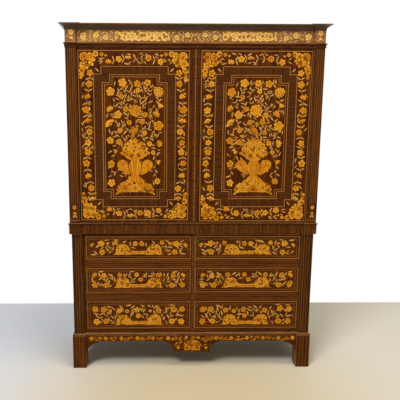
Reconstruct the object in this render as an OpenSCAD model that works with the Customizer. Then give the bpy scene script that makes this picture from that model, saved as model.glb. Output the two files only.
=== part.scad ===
// Two-stage marquetry press: a pair of tall doors over a pair of doors dressed as drawers.
// Millimetres, +Z up, front towards -Y, origin on the floor under the middle of the outer box.

/* [Case] */
// Width across the upper pilasters
upper_w = 1490; // [1200:1:1800]
// Depth from the face of the upper pilasters to the back
case_d = 500; // [420:1:620]
// How far the lower stage is set in behind the upper one, at the front and at each side
stage_inset = 8.5; // [4:0.5:14]
// How far doors, frieze and apron lie behind the face of the pilasters
setback = 12; // [8:1:18]
// Face width of an upper pilaster
upper_pilaster_w = 62; // [50:1:90]
// Face width of a lower pilaster
lower_pilaster_w = 64.5; // [52:0.5:90]
// Thickness of the pilasters, front to back
pilaster_t = 34; // [24:1:40]

/* [Heights] */
// Floor to the top of the base moulding
base_h = 225; // [190:1:260]
// Height of the opening that the lower doors close
lower_opening_h = 641; // [500:1:760]
// Height of the flat cross-grained band at the waist
band_h = 59; // [50:1:80]
// Thickness of the lip on top of the waist band
lip_h = 8; // [7:0.5:12]
// Height of the opening that the upper doors close
upper_opening_h = 1021.5; // [800:0.5:1200]
// Height of the bead moulding over the upper doors
bead_h = 25.5; // [18:0.5:34]
// Height of the frieze
frieze_h = 74; // [55:1:100]
// Height of the cornice moulding
cornice_h = 29; // [22:1:45]

/* [Mouldings] */
// Reach of the cornice beyond the upper stage
cornice_out = 28; // [20:1:40]
// Reach of the bead moulding beyond the upper stage
bead_out = 9; // [6:1:12]
// Reach of the waist band beyond the upper stage
band_out = 4; // [2:0.5:6]
// Reach of the waist lip beyond the upper stage
lip_out = 9; // [7:0.5:12]
// Reach of the feet and base moulding beyond the lower stage
base_out = 9.5; // [7:0.5:12]
// Height of the base moulding
base_moulding_h = 18; // [14:1:26]
// Reach of the base moulding's upper edge
base_edge = 1; // [0.5:0.5:3]
// Reach of the flat part of the bead moulding
bead_flat = 3.5; // [2:0.5:5]
// Radius of the bead moulding's round nose
bead_nose_r = 4; // [2.5:0.5:5]
// Height of the small bead at the foot of the cornice
cornice_bead_h = 4; // [3:0.5:6]
// Height of the square fillet at the top of the cornice
cornice_fillet_h = 5; // [3:0.5:8]
// Width of the flat fillets at the edges of the astragal
astragal_fillet_w = 3; // [2:0.5:6]

/* [Boards] */
// Thickness of the side panels
side_t = 22; // [18:1:28]
// Thickness of shelves, tops and bottoms
board_t = 20; // [16:1:26]
// Thickness of the back boards
back_t = 12; // [9:1:16]
// Number of upright boards in each back
back_boards = 6; // [4:1:9]
// Section of the cleats that carry the shelves
cleat_s = 18; // [14:1:26]
// Depth of the rails over the doors, front to back
rail_d = 60; // [52:1:80]

/* [Doors] */
// Thickness of a door leaf
door_t = 28; // [24:1:34]
// Width of the stiles and rails of a leaf
stile_w = 92; // [84:1:120]
// Thickness of the flush panel of a leaf
panel_t = 16; // [12:1:18]
// Gap all round a leaf
door_gap = 2.5; // [2:0.1:4]
// Gap between the two leaves of a pair
meeting_gap = 2; // [1:0.1:3]
// Where the upper leaves meet, measured from the middle
upper_meeting_x = -14; // [-30:1:30]
// Where the lower leaves meet, measured from the middle
lower_meeting_x = -5; // [-30:1:30]
// Width of the astragal on the upper right leaf
astragal_w = 33; // [20:1:45]
// How far the astragal stands proud of the leaf
astragal_out = 4.5; // [3:0.5:8]
// Width of the cock bead on the lower right leaf
meeting_bead_w = 10; // [6:1:14]
// How far the cock bead stands proud of the leaf
meeting_bead_out = 3; // [2:0.5:5]

/* [Pin hinges] */
// Distance of the hinge pins from the outer edge of a leaf
pivot_in = 18; // [16:1:24]
// Distance of the hinge pins behind the face of a leaf
pivot_back = 8; // [7:0.5:9]
// Radius of the hinge pins
pin_r = 3; // [2.5:0.1:4]
// Running clearance between a hinge pin and its bore, on the radius
pin_clearance = 0.05; // [0.02:0.01:0.1]
// Length of a hinge plate
hinge_l = 52; // [40:1:70]
// Width of a hinge plate
hinge_w = 12; // [10:0.5:14]
// Thickness of a hinge plate
hinge_t = 3; // [2:0.5:4]
// How deep a hinge pin goes into its leaf beyond the plate
pin_reach = 7; // [5:1:10]

/* [Locks and bolts] */
// Height of the upper keyhole above the waist lip
upper_key_up = 523; // [300:1:660]
// Distance of the higher keyhole of the lower right leaf below the waist band
lower_key_down = 54; // [50:1:90]
// Height of the lower keyhole of the lower right leaf above the base
lower_key_up = 166; // [80:1:220]
// Distance of the upper keyhole from the leaf's meeting edge
upper_backset = 55; // [50:1:60]
// Distance of the lower keyholes from the leaf's meeting edge
lower_backset = 36; // [34:1:48]
// Height of a lock case
lock_h = 84; // [70:1:90]
// Thickness of a lock case, let into the back of the leaf
lock_t = 14; // [12:0.5:16]
// How much wider than its keyhole distance a lock case is
lock_margin = 17; // [14:1:24]
// Throw of every lock bolt and slip bolt
bolt_throw = 10; // [7:1:10]
// Length of a lock bolt
lock_bolt_l = 40; // [34:1:48]
// Height of a lock bolt
lock_bolt_h = 18; // [14:1:22]
// Thickness of a lock bolt
lock_bolt_t = 7; // [5:0.5:8]
// Clearance round a lock bolt or slip bolt
bolt_clearance = 0.3; // [0.2:0.05:0.5]
// Width of a slip bolt
slip_w = 9; // [7:0.5:12]
// Thickness of a slip bolt
slip_t = 5; // [4:0.5:6]
// Length of a slip bolt
slip_l = 110; // [80:1:140]
// Distance of a slip bolt from the meeting edge
slip_in = 30; // [24:1:40]
// Width of a slip bolt's plate
slip_plate_w = 22; // [18:1:28]
// Thickness of a slip bolt's plate and of a keep plate
plate_t = 2.5; // [2:0.5:3]
// Reach of a slip bolt's thumb knob behind the leaf
knob_out = 8; // [6:0.5:9]
// Radius of the round part of a keyhole
keyhole_r = 3.2; // [2.8:0.1:3.6]
// Radius of the drill pin that a key slides over
drill_pin_r = 1.5; // [1.2:0.1:1.8]
// Width of an escutcheon of the upper stage
escutcheon_w = 24; // [20:1:30]
// Height of an escutcheon of the upper stage
escutcheon_h = 36; // [30:1:44]
// Thickness of an escutcheon
escutcheon_t = 1.2; // [0.8:0.1:2]
// Width of a lower escutcheon
lower_escutcheon_w = 15; // [12:1:18]
// Height of a lower escutcheon
lower_escutcheon_h = 28; // [24:1:34]

/* [Feet and apron] */
// Face width of a front foot, which is square in plan
foot_w = 82; // [70:1:92]
// Width of a back foot
back_foot_w = 60; // [50:1:80]
// Thickness of the apron boards
apron_t = 20; // [16:1:24]
// Height of the straight part of the apron
apron_h = 35; // [25:1:45]
// Height of the apron at its pendant
pendant_h = 106; // [85:1:125]
// Half of the pendant's width along its lower edge
pendant_half_w = 112; // [80:1:140]
// Width of the hollow curve at each flank of the pendant
pendant_flank_w = 80; // [60:1:100]
// Width of the hollow bracket at each foot
bracket_w = 72; // [50:1:90]
// Height of the apron at its brackets
bracket_h = 127; // [95:1:145]
// Drop of the little cusp where bracket and flat edge meet
cusp_h = 11; // [6:1:15]
// Width of the little cusp
cusp_w = 14; // [8:1:20]

/* [Hidden] */
$fn = 48;
seat = 0.2;               // clearance where a board drops in between others
cornice_in = 5;           // how far the cornice stands on the frieze and the sides
eps = 0.5;                // overshoot of a cut past a face
arc_steps = 8;            // steps in a moulding's quarter round
stop_gap = 10;            // leaf back to shelf edge, for the swing of the leaf's back corner
collar_play = 0.1;        // washer collar to the leaf that hangs over it
tip_in = 1;               // a drawn bolt's end to the edge of its leaf
bolt_rise = 16;           // lock bolt's middle above its keyhole
mortise_play = 3;         // mortise depth beyond a thrown bolt
knob_r = 6;               // radius of a slip bolt's knob
knob_t = 3.5;             // thickness of the knob's head
stem_r = 2.5;             // radius of the knob's stem
keyhole_slot_h = 9;       // keyhole's axis to the end of its slot
lock_wall = 5.5;          // end of the keyhole to the back of the lock case
drill_pin_short = 2;      // end of the drill pin behind the face of its leaf
keep_margin = 12;         // keep plate above and below the bolt it receives
knob_in = 28;             // slip bolt's knob from the inner end of the bolt
slip_plate_over = 22;     // how much longer a slip bolt's plate is than its bolt
pin_room = 1;             // room in a leaf round the hinge pin and beyond its end

rosewood = "#4b2a18";
rosewood_dark = "#3a2013";
oak = "#a8814f";
brass = "#b0904e";
steel = "#6d6a64";

// Widths and depths of the two stages
upper_half = upper_w / 2;
lower_half = upper_half - stage_inset;
upper_y = -(case_d - cornice_out) / 2;
back_y = upper_y + case_d;
lower_y = upper_y + stage_inset;
upper_in = upper_half - upper_pilaster_w;
lower_in = lower_half - lower_pilaster_w;
upper_face_y = upper_y + setback;
lower_face_y = lower_y + setback;
foot_in = lower_half + base_out - foot_w;

// Levels above the floor
apron_top_z = base_h - base_moulding_h;
apron_z = apron_top_z - apron_h;
pendant_z = apron_top_z - pendant_h;
bracket_z = apron_top_z - bracket_h;
waist_z = base_h + lower_opening_h;
lip_z = waist_z + band_h;
sill_z = lip_z + lip_h;
head_z = sill_z + upper_opening_h;
frieze_z = head_z + bead_h;
cornice_z = frieze_z + frieze_h;
top_z = cornice_z + cornice_h;

// Inside of the case
upper_room = upper_half - side_t;
lower_room = lower_half - side_t;
inner_back_y = back_y - back_t;
waist_room = lower_room;
waist_rail_y = upper_y + rail_d;
upper_shelf_y = upper_face_y + door_t + stop_gap;
lower_shelf_y = lower_face_y + door_t + stop_gap;
ceiling_z = frieze_z - board_t;
upper_step = (ceiling_z - sill_z - 3 * board_t) / 4;
lower_shelf_z = (base_h + waist_z - board_t) / 2;

// Edges of the leaves
upper_edge = upper_in - door_gap;
lower_edge = lower_in - door_gap;
upper_left_meet = upper_meeting_x - meeting_gap / 2;
upper_right_meet = upper_meeting_x + meeting_gap / 2;
lower_left_meet = lower_meeting_x - meeting_gap / 2;
lower_right_meet = lower_meeting_x + meeting_gap / 2;
upper_leaf_z0 = sill_z + door_gap;
upper_leaf_z1 = head_z - door_gap;
lower_leaf_z0 = base_h + door_gap;
lower_leaf_z1 = waist_z - door_gap;
upper_leaf_back = upper_face_y + door_t;
lower_leaf_back = lower_face_y + door_t;

// Axes of the hinge pins, slip bolts and keyholes
upper_pivot_x = upper_edge - pivot_in;
upper_pivot_y = upper_face_y + pivot_back;
lower_pivot_x = lower_edge - pivot_in;
lower_pivot_y = lower_face_y + pivot_back;
slip_depth = plate_t + bolt_clearance + slip_t / 2;
upper_slip_x = upper_left_meet - slip_in;
upper_slip_y = upper_leaf_back - slip_depth;
lower_slip_x = lower_left_meet - slip_in;
lower_slip_y = lower_leaf_back - slip_depth;
upper_key_x = upper_right_meet + upper_backset;
lower_key_x = lower_right_meet + lower_backset;
upper_key_z = sill_z + upper_key_up;
lower_key_high_z = waist_z - lower_key_down;
lower_key_low_z = base_h + lower_key_up;
lower_keys = [lower_key_high_z, lower_key_low_z];

// Plan of a stage with its pilasters breaking forward, grown by d on the front and sides
function breakfront(half, y, pilaster, d) = [
    [-half - d, back_y], [-half - d, y - d],
    [-half + pilaster + d, y - d], [-half + pilaster + d, y + setback - d],
    [half - pilaster - d, y + setback - d], [half - pilaster - d, y - d],
    [half + d, y - d], [half + d, back_y]
];
function upper_plan(d) = breakfront(upper_half, upper_y, upper_pilaster_w, d);
function lower_plan(d) = breakfront(lower_half, lower_y, lower_pilaster_w, d);

// Quarter of an ellipse from angle a0 to a1 about c
function arc(c, rx, ry, a0, a1, n = arc_steps) =
    [for (i = [0:n]) let (a = a0 + (a1 - a0) * i / n) [c[0] + rx * cos(a), c[1] + ry * sin(a)]];

// Two point lists where the second starts at the last point of the first
function joined(a, b) = concat(a, [for (i = [1:len(b) - 1]) b[i]]);

// A half outline and its mirror image, as one outline
function both_halves(half) = concat(half, [for (i = [len(half) - 1:-1:0]) [-half[i][0], half[i][1]]]);

// A moulding in straight lengths, mitred where the plan breaks forward; outline is a closed list of
// [reach, height], and each length runs past its mitres before it is cut
module mitred_run(half, y, pilaster, outline) {
    reaches = [for (p = outline) p[0]];
    heights = [for (p = outline) p[1]];
    over = max(reaches) - min(reaches) + eps;
    corners = breakfront(half, y, pilaster, 0);
    near = breakfront(half, y, pilaster, min(reaches) - eps);
    far = breakfront(half, y, pilaster, max(reaches) + eps);
    for (i = [0:len(corners) - 2]) {
        length = corners[i + 1] - corners[i];
        intersection() {
            translate([0, 0, min(heights) - eps]) linear_extrude(max(heights) - min(heights) + 2 * eps)
                polygon([near[i], near[i + 1], far[i + 1], far[i]]);
            translate(corners[i]) rotate([0, 0, atan2(length[1], length[0])]) translate([-over, 0, 0])
                rotate([90, 0, 90]) linear_extrude(norm(length) + 2 * over)
                    polygon([for (p = outline) [-p[0], p[1]]]);
        }
    }
}

module board(x0, x1, y0, y1, z0, z1) {
    translate([x0, y0, z0]) cube([x1 - x0, y1 - y0, z1 - z0]);
}

// Both sides of the piece, for a pair
module pair() {
    children();
    mirror([1, 0, 0]) children();
}

/* Base */

module foot_front() {
    outer = lower_half + base_out;
    board(foot_in, outer, lower_y - base_out, lower_y - base_out + foot_w, 0, apron_top_z);
}

module foot_front_left() { color(rosewood) mirror([1, 0, 0]) foot_front(); }

module foot_front_right() { color(rosewood) foot_front(); }

module back_feet() {
    color(rosewood) pair()
        board(lower_half + base_out - back_foot_w, lower_half + base_out, back_y - back_foot_w, back_y,
              0, apron_top_z);
}

// Lower edge of the apron from the middle to the foot, as [x, z]
function apron_edge() = concat(
    arc([pendant_half_w + pendant_flank_w, pendant_z], pendant_flank_w, apron_z - pendant_z, 180, 90),
    [[foot_in - bracket_w - cusp_w, apron_z]],
    arc([foot_in - bracket_w, bracket_z], bracket_w, apron_z - cusp_h - bracket_z, 90, 0),
    [[foot_in, apron_top_z]]
);

module apron_front() {
    color(rosewood) translate([0, lower_face_y - base_out + apron_t, 0]) rotate([90, 0, 0])
        linear_extrude(apron_t) polygon(both_halves(apron_edge()));
}

// Lower edge of a side apron, half of it, as [distance from its middle, z]
function side_apron_edge(half) = concat(
    [[half - bracket_w - cusp_w, apron_z]],
    arc([half - bracket_w, bracket_z], bracket_w, apron_z - cusp_h - bracket_z, 90, 0),
    [[half, apron_top_z]]
);

module apron_sides() {
    front = lower_y - base_out + foot_w;
    back = back_y - back_foot_w;
    half = (back - front) / 2;
    color(rosewood) pair() translate([lower_half + base_out, (front + back) / 2, 0]) rotate([90, 0, -90])
        linear_extrude(apron_t) polygon(both_halves(side_apron_edge(half)));
}

module base_moulding() {
    rise = base_moulding_h / 2;
    color(rosewood_dark) mitred_run(lower_half, lower_y, lower_pilaster_w, concat(
        [[0, apron_top_z], [base_out, apron_top_z]],
        arc([base_edge, apron_top_z + rise], base_out - base_edge, rise, 0, 90),
        [[0, base_h]]
    ));
}

/* Lower stage */

module lower_bottom_board() {
    color(oak) difference() {
        translate([0, 0, apron_top_z]) linear_extrude(base_moulding_h) polygon(lower_plan(0));
        pair() translate([lower_pivot_x, lower_pivot_y, base_h]) hinge_pocket();
        slip_mortise(lower_slip_x, lower_slip_y, base_h - bolt_throw - mortise_play, base_h + eps);
    }
}

module lower_side() {
    color(rosewood) board(lower_room, lower_half, lower_y + pilaster_t, back_y, base_h, waist_z);
}

module lower_side_left() { mirror([1, 0, 0]) lower_side(); }

module lower_side_right() { lower_side(); }

module lower_pilaster() {
    color(rosewood) board(lower_in, lower_half, lower_y, lower_y + pilaster_t, base_h, waist_z);
}

module lower_pilaster_left() { mirror([1, 0, 0]) lower_pilaster(); }

module lower_pilaster_right() { lower_pilaster(); }

// Upright boards with an open joint between neighbours
module back(room, z0, z1) {
    w = 2 * (room - seat) / back_boards;
    color(oak) for (i = [0:back_boards - 1])
        board(-room + seat + i * w + (i > 0 ? seat : 0), -room + seat + (i + 1) * w,
              inner_back_y, back_y, z0, z1);
}

module lower_back_boards() { back(lower_room, base_h, lip_z); }

module lower_shelf() {
    color(oak) board(-lower_room + seat, lower_room - seat, lower_shelf_y, inner_back_y - seat,
                     lower_shelf_z, lower_shelf_z + board_t);
}

module lower_top_board() {
    color(oak) board(-waist_room + seat, waist_room - seat, waist_rail_y + seat, inner_back_y,
                     waist_z, waist_z + board_t);
}

// Front and side rails whose faces carry the cross-grained band
module waist_frame() {
    color(rosewood_dark) difference() {
        translate([0, 0, waist_z]) linear_extrude(band_h) polygon(upper_plan(band_out));
        board(-waist_room, waist_room, waist_rail_y, back_y + eps, waist_z - eps, lip_z + eps);
        pair() translate([lower_pivot_x, lower_pivot_y, waist_z]) mirror([0, 0, 1]) hinge_pocket();
        slip_mortise(lower_slip_x, lower_slip_y, waist_z - eps, waist_z + bolt_throw + mortise_play);
    }
}

/* Upper stage */

// Its rounded rim is the lip of the waist, and its thicker middle drops into the waist frame
module upper_bottom_board() {
    nose = lip_out - lip_h / 2;
    color(rosewood_dark) difference() {
        union() {
            translate([0, 0, lip_z]) linear_extrude(lip_h) polygon(upper_plan(nose / 2));
            mitred_run(upper_half, upper_y, upper_pilaster_w, concat(
                [[0, lip_z]], arc([nose, lip_z + lip_h / 2], lip_h / 2, lip_h / 2, -90, 90), [[0, sill_z]]
            ));
            board(-waist_room + seat, waist_room - seat, waist_rail_y + seat, inner_back_y - seat,
                  lip_z - board_t, lip_z + lip_h / 2);
        }
        board(-upper_room, upper_room, inner_back_y, back_y + eps, lip_z - eps, sill_z + eps);
        pair() translate([upper_pivot_x, upper_pivot_y, sill_z]) hinge_pocket();
        slip_mortise(upper_slip_x, upper_slip_y, lip_z - eps, sill_z + eps);
    }
}

module upper_side() {
    color(rosewood) board(upper_room, upper_half, upper_y + pilaster_t, back_y, sill_z, cornice_z);
}

module upper_side_left() { mirror([1, 0, 0]) upper_side(); }

module upper_side_right() { upper_side(); }

module upper_pilaster() {
    color(rosewood) board(upper_in, upper_half, upper_y, upper_y + pilaster_t, sill_z, frieze_z);
}

module upper_pilaster_left() { mirror([1, 0, 0]) upper_pilaster(); }

module upper_pilaster_right() { upper_pilaster(); }

module upper_head_rail() {
    color(oak) difference() {
        board(-upper_in, upper_in, upper_face_y, upper_y + rail_d, head_z, frieze_z);
        pair() translate([upper_pivot_x, upper_pivot_y, head_z]) mirror([0, 0, 1]) hinge_pocket();
        slip_mortise(upper_slip_x, upper_slip_y, head_z - eps, head_z + bolt_throw + mortise_play);
    }
}

module upper_top_board() {
    color(oak) board(-upper_room + seat, upper_room - seat, upper_y + rail_d, inner_back_y,
                     ceiling_z, frieze_z);
}

module upper_back_boards() { back(upper_room, lip_z, cornice_z); }

module upper_shelf(i) {
    z = sill_z + i * upper_step + (i - 1) * board_t;
    color(oak) board(-upper_room + seat, upper_room - seat, upper_shelf_y, inner_back_y - seat,
                     z, z + board_t);
}

module upper_shelf_low() { upper_shelf(1); }

module upper_shelf_middle() { upper_shelf(2); }

module upper_shelf_high() { upper_shelf(3); }

module shelf_cleats() {
    run_in = 8;
    color(oak) pair() {
        for (i = [1:3]) {
            z = sill_z + i * upper_step + (i - 1) * board_t;
            board(upper_room - cleat_s, upper_room, upper_shelf_y + run_in, inner_back_y - run_in,
                  z - cleat_s, z);
        }
        board(lower_room - cleat_s, lower_room, lower_shelf_y + run_in, inner_back_y - run_in,
              lower_shelf_z - cleat_s, lower_shelf_z);
    }
}

module frieze_board() {
    color(rosewood) board(-upper_in, upper_in, upper_face_y, upper_y + pilaster_t, frieze_z, cornice_z);
}

module frieze_blocks() {
    color(rosewood) pair()
        board(upper_in, upper_half, upper_y, upper_y + pilaster_t, frieze_z, cornice_z);
}

// A flat fascia, a small hollow and a round nose on top
module bead_moulding() {
    fascia = bead_h / 2;
    hollow = bead_h - fascia - 2 * bead_nose_r;
    nose = bead_out - bead_nose_r;
    color(rosewood_dark) mitred_run(upper_half, upper_y, upper_pilaster_w, concat(
        [[0, head_z], [bead_flat, head_z]],
        joined(
            arc([nose, head_z + fascia], nose - bead_flat, hollow, 180, 90),
            arc([nose, frieze_z - bead_nose_r], bead_nose_r, bead_nose_r, -90, 90)
        ),
        [[0, frieze_z]]
    ));
}

// A hollow rising from a small bead to a square fillet
module cornice_moulding() {
    bead_r = cornice_bead_h / 2;
    hollow = cornice_h - cornice_bead_h - cornice_fillet_h;
    color(rosewood_dark) mitred_run(upper_half, upper_y, upper_pilaster_w, concat(
        [[-cornice_in, cornice_z]],
        joined(
            arc([bead_r, cornice_z + bead_r], bead_r, bead_r, -90, 90),
            arc([cornice_out, cornice_z + cornice_bead_h], cornice_out - bead_r, hollow, 180, 90)
        ),
        [[cornice_out, top_z], [-cornice_in, top_z]]
    ));
}

module cornice_top_board() {
    color(oak) translate([0, 0, cornice_z]) linear_extrude(board_t) polygon(upper_plan(-cornice_in - seat));
}

/* Pin hinges */

// Room for one hinge plate, sunk in a face at z = 0, with the pin's axis at the origin
module hinge_pocket() {
    board(hinge_w / 2 - hinge_l, hinge_w / 2, -hinge_w / 2, hinge_w / 2, -hinge_t, eps);
}

// The plate let into the case, with its pin standing up; collar is a washer that takes the leaf's weight
module hinge_pin_plate(collar) {
    board(hinge_w / 2 - hinge_l, hinge_w / 2, -hinge_w / 2, hinge_w / 2, -hinge_t, 0);
    translate([0, 0, -hinge_t]) cylinder(r = pin_r, h = 2 * hinge_t + door_gap + pin_reach);
    if (collar) cylinder(r = hinge_w / 2 - eps, h = door_gap - collar_play);
}

// The plate let into a leaf, bored for the pin
module hinge_leaf_plate() {
    difference() {
        board(hinge_w / 2 - hinge_l, hinge_w / 2, -hinge_w / 2, hinge_w / 2, 0, hinge_t);
        translate([0, 0, -eps]) cylinder(r = pin_r + pin_clearance, h = hinge_t + 2 * eps);
    }
}

// Room in a leaf's edge for its plate and for the end of the pin
module hinge_leaf_cut() {
    board(hinge_w / 2 - hinge_l, hinge_w / 2, -hinge_w / 2, hinge_w / 2, -eps, hinge_t);
    cylinder(r = pin_r + pin_room, h = hinge_t + pin_reach + pin_room);
}

// Children at the lower hinge of a leaf and, turned over, at its upper one
module at_hinges(x, y, z0, z1) {
    translate([x, y, z0]) children();
    translate([x, y, z1]) mirror([0, 0, 1]) children();
}

module hinge_pin_plates() {
    color(brass) pair() {
        translate([upper_pivot_x, upper_pivot_y, sill_z]) hinge_pin_plate(true);
        translate([upper_pivot_x, upper_pivot_y, head_z]) mirror([0, 0, 1]) hinge_pin_plate(false);
        translate([lower_pivot_x, lower_pivot_y, base_h]) hinge_pin_plate(true);
        translate([lower_pivot_x, lower_pivot_y, waist_z]) mirror([0, 0, 1]) hinge_pin_plate(false);
    }
}

module upper_leaf_hinges() {
    at_hinges(upper_pivot_x, upper_pivot_y, upper_leaf_z0, upper_leaf_z1) hinge_leaf_plate();
}

module lower_leaf_hinges() {
    at_hinges(lower_pivot_x, lower_pivot_y, lower_leaf_z0, lower_leaf_z1) hinge_leaf_plate();
}

module upper_right_hinge_plates() { color(brass) upper_leaf_hinges(); }

module upper_left_hinge_plates() { color(brass) mirror([1, 0, 0]) upper_leaf_hinges(); }

module lower_right_hinge_plates() { color(brass) lower_leaf_hinges(); }

module lower_left_hinge_plates() { color(brass) mirror([1, 0, 0]) lower_leaf_hinges(); }

/* Locks */

// Keyhole through the thickness y0 to y1
module keyhole(x, y0, y1, z) {
    translate([x, y1, z]) rotate([90, 0, 0]) cylinder(r = keyhole_r, h = y1 - y0);
    board(x - keyhole_r / 2, x + keyhole_r / 2, y0, y1, z - keyhole_slot_h, z);
}

// A bar along X at a lock's bolt, grown by c all round its section
module lock_bar(x0, x1, back, key_z, c) {
    board(x0, x1, back - lock_t / 2 - lock_bolt_t / 2 - c, back - lock_t / 2 + lock_bolt_t / 2 + c,
          key_z + bolt_rise - lock_bolt_h / 2 - c, key_z + bolt_rise + lock_bolt_h / 2 + c);
}

module lock_bolt(edge, back, key_z) {
    lock_bar(edge + tip_in, edge + tip_in + lock_bolt_l, back, key_z, 0);
}

// Outside of a lock case, run over the leaf's edge and back by over where it cuts its own room
module lock_block(edge, back, key_x, key_z, over) {
    board(edge - over, key_x + lock_margin, back - lock_t, back + over,
          key_z - lock_h / 2, key_z + lock_h / 2);
}

// Case let into the back of a right leaf, with the drill pin that a key's barrel slides over
module lock_case(edge, back, face, key_x, key_z) {
    bit_y = back - lock_wall;
    difference() {
        lock_block(edge, back, key_x, key_z, 0);
        lock_bar(edge - eps, edge + tip_in + lock_bolt_l + bolt_clearance, back, key_z, bolt_clearance);
        keyhole(key_x, back - lock_t - eps, bit_y, key_z);
    }
    translate([key_x, bit_y + eps, key_z]) rotate([90, 0, 0])
        cylinder(r = drill_pin_r, h = bit_y + eps - face - drill_pin_short);
}

// Room in a left leaf for a lock's bolt
module keep_mortise(edge, back, key_z) {
    lock_bar(edge - bolt_throw - mortise_play, edge + eps, back, key_z, bolt_clearance);
}

// Outside of the plate on a left leaf's meeting edge that a lock's bolt passes through
module keep_block(edge, back, key_z, over) {
    half = lock_bolt_h / 2 + keep_margin;
    board(edge - plate_t, edge + over, back - lock_t, back + over, key_z + bolt_rise - half,
          key_z + bolt_rise + half);
}

module keep_plate(edge, back, key_z) {
    difference() {
        keep_block(edge, back, key_z, 0);
        keep_mortise(edge, back, key_z);
    }
}

/* Slip bolts of the left leaves */

// A bar along Z at a slip bolt, grown by c all round its section
module slip_bar(x, y, z0, z1, c) {
    board(x - slip_w / 2 - c, x + slip_w / 2 + c, y - slip_t / 2 - c, y + slip_t / 2 + c, z0, z1);
}

// Room in the case for a thrown slip bolt
module slip_mortise(x, y, z0, z1) {
    slip_bar(x, y, z0, z1, bolt_clearance);
}

// The next modules stand at the top edge of a leaf, z = 0, on the bolt's middle, x = y = 0
knob_z = -tip_in - slip_l + knob_in;
slip_plate_l = slip_l + slip_plate_over;

module slip_bolt() {
    slip_bar(0, 0, -tip_in - slip_l, -tip_in, 0);
    translate([0, 0, knob_z]) rotate([-90, 0, 0]) {
        cylinder(r = stem_r, h = slip_depth + knob_out);
        translate([0, 0, slip_depth + knob_out - knob_t]) cylinder(r = knob_r, h = knob_t);
    }
}

module slip_plate_block(over) {
    board(-slip_plate_w / 2, slip_plate_w / 2, slip_depth - plate_t, slip_depth + over, -slip_plate_l, over);
}

module slip_plate() {
    difference() {
        slip_plate_block(0);
        board(-stem_r - bolt_clearance, stem_r + bolt_clearance, 0, slip_depth + eps,
              knob_z - stem_r - bolt_clearance, knob_z + bolt_throw + stem_r + bolt_clearance);
    }
}

// Groove and plate room in the leaf
module slip_cut() {
    slip_plate_block(eps);
    board(-slip_w / 2 - bolt_clearance, slip_w / 2 + bolt_clearance, -slip_t / 2 - bolt_clearance,
          slip_depth - plate_t + eps, -tip_in - slip_l - bolt_clearance, eps);
}

module at_upper_slips() {
    translate([upper_slip_x, upper_slip_y, upper_leaf_z1]) children();
    translate([upper_slip_x, upper_slip_y, upper_leaf_z0]) mirror([0, 0, 1]) children();
}

module at_lower_slips() {
    translate([lower_slip_x, lower_slip_y, lower_leaf_z1]) children();
    translate([lower_slip_x, lower_slip_y, lower_leaf_z0]) mirror([0, 0, 1]) children();
}

module upper_top_slip_bolt() {
    color(brass) translate([upper_slip_x, upper_slip_y, upper_leaf_z1]) slip_bolt();
}

module upper_bottom_slip_bolt() {
    color(brass) translate([upper_slip_x, upper_slip_y, upper_leaf_z0]) mirror([0, 0, 1]) slip_bolt();
}

module lower_top_slip_bolt() {
    color(brass) translate([lower_slip_x, lower_slip_y, lower_leaf_z1]) slip_bolt();
}

module lower_bottom_slip_bolt() {
    color(brass) translate([lower_slip_x, lower_slip_y, lower_leaf_z0]) mirror([0, 0, 1]) slip_bolt();
}

module upper_left_bolt_plates() {
    color(brass) {
        at_upper_slips() slip_plate();
        keep_plate(upper_left_meet, upper_leaf_back, upper_key_z);
    }
}

module lower_left_bolt_plates() {
    color(brass) {
        at_lower_slips() slip_plate();
        for (z = lower_keys) keep_plate(lower_left_meet, lower_leaf_back, z);
    }
}

/* Upper leaves */

module upper_panel(x0, x1) {
    board(x0 + stile_w, x1 - stile_w, upper_face_y, upper_face_y + panel_t, upper_leaf_z0 + stile_w,
          upper_leaf_z1 - stile_w);
}

// Stiles and rails of a leaf, open where the panel stands
module upper_frame(x0, x1) {
    difference() {
        board(x0, x1, upper_face_y, upper_leaf_back, upper_leaf_z0, upper_leaf_z1);
        board(x0 + stile_w, x1 - stile_w, upper_face_y - eps, upper_leaf_back + eps,
              upper_leaf_z0 + stile_w, upper_leaf_z1 - stile_w);
    }
}

module upper_hinge_cuts() {
    at_hinges(upper_pivot_x, upper_pivot_y, upper_leaf_z0, upper_leaf_z1) hinge_leaf_cut();
}

module upper_left_door_frame() {
    color(rosewood) difference() {
        upper_frame(-upper_edge, upper_left_meet);
        mirror([1, 0, 0]) upper_hinge_cuts();
        at_upper_slips() slip_cut();
        keep_block(upper_left_meet, upper_leaf_back, upper_key_z, eps);
        keep_mortise(upper_left_meet, upper_leaf_back, upper_key_z);
    }
}

module upper_left_door_panel() { color(rosewood_dark) upper_panel(-upper_edge, upper_left_meet); }

module upper_right_door_frame() {
    color(rosewood) difference() {
        upper_frame(upper_right_meet, upper_edge);
        upper_hinge_cuts();
        lock_block(upper_right_meet, upper_leaf_back, upper_key_x, upper_key_z, eps);
        keyhole(upper_key_x, upper_face_y - eps, upper_leaf_back, upper_key_z);
    }
}

module upper_right_door_panel() { color(rosewood_dark) upper_panel(upper_right_meet, upper_edge); }

// A crowned strip between two small fillets
module upper_astragal() {
    step = astragal_out / 3;
    color(rosewood_dark) translate([upper_right_meet, upper_face_y, upper_leaf_z0])
        linear_extrude(upper_leaf_z1 - upper_leaf_z0) polygon(concat(
            [[0, 0], [0, -step]],
            arc([astragal_w / 2, -step], astragal_w / 2 - astragal_fillet_w, astragal_out - step, 180, 360),
            [[astragal_w, -step], [astragal_w, 0]]
        ));
}

module upper_lock_case() {
    color(brass) lock_case(upper_right_meet, upper_leaf_back, upper_face_y, upper_key_x, upper_key_z);
}

module upper_lock_bolt() { color(steel) lock_bolt(upper_right_meet, upper_leaf_back, upper_key_z); }

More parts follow.
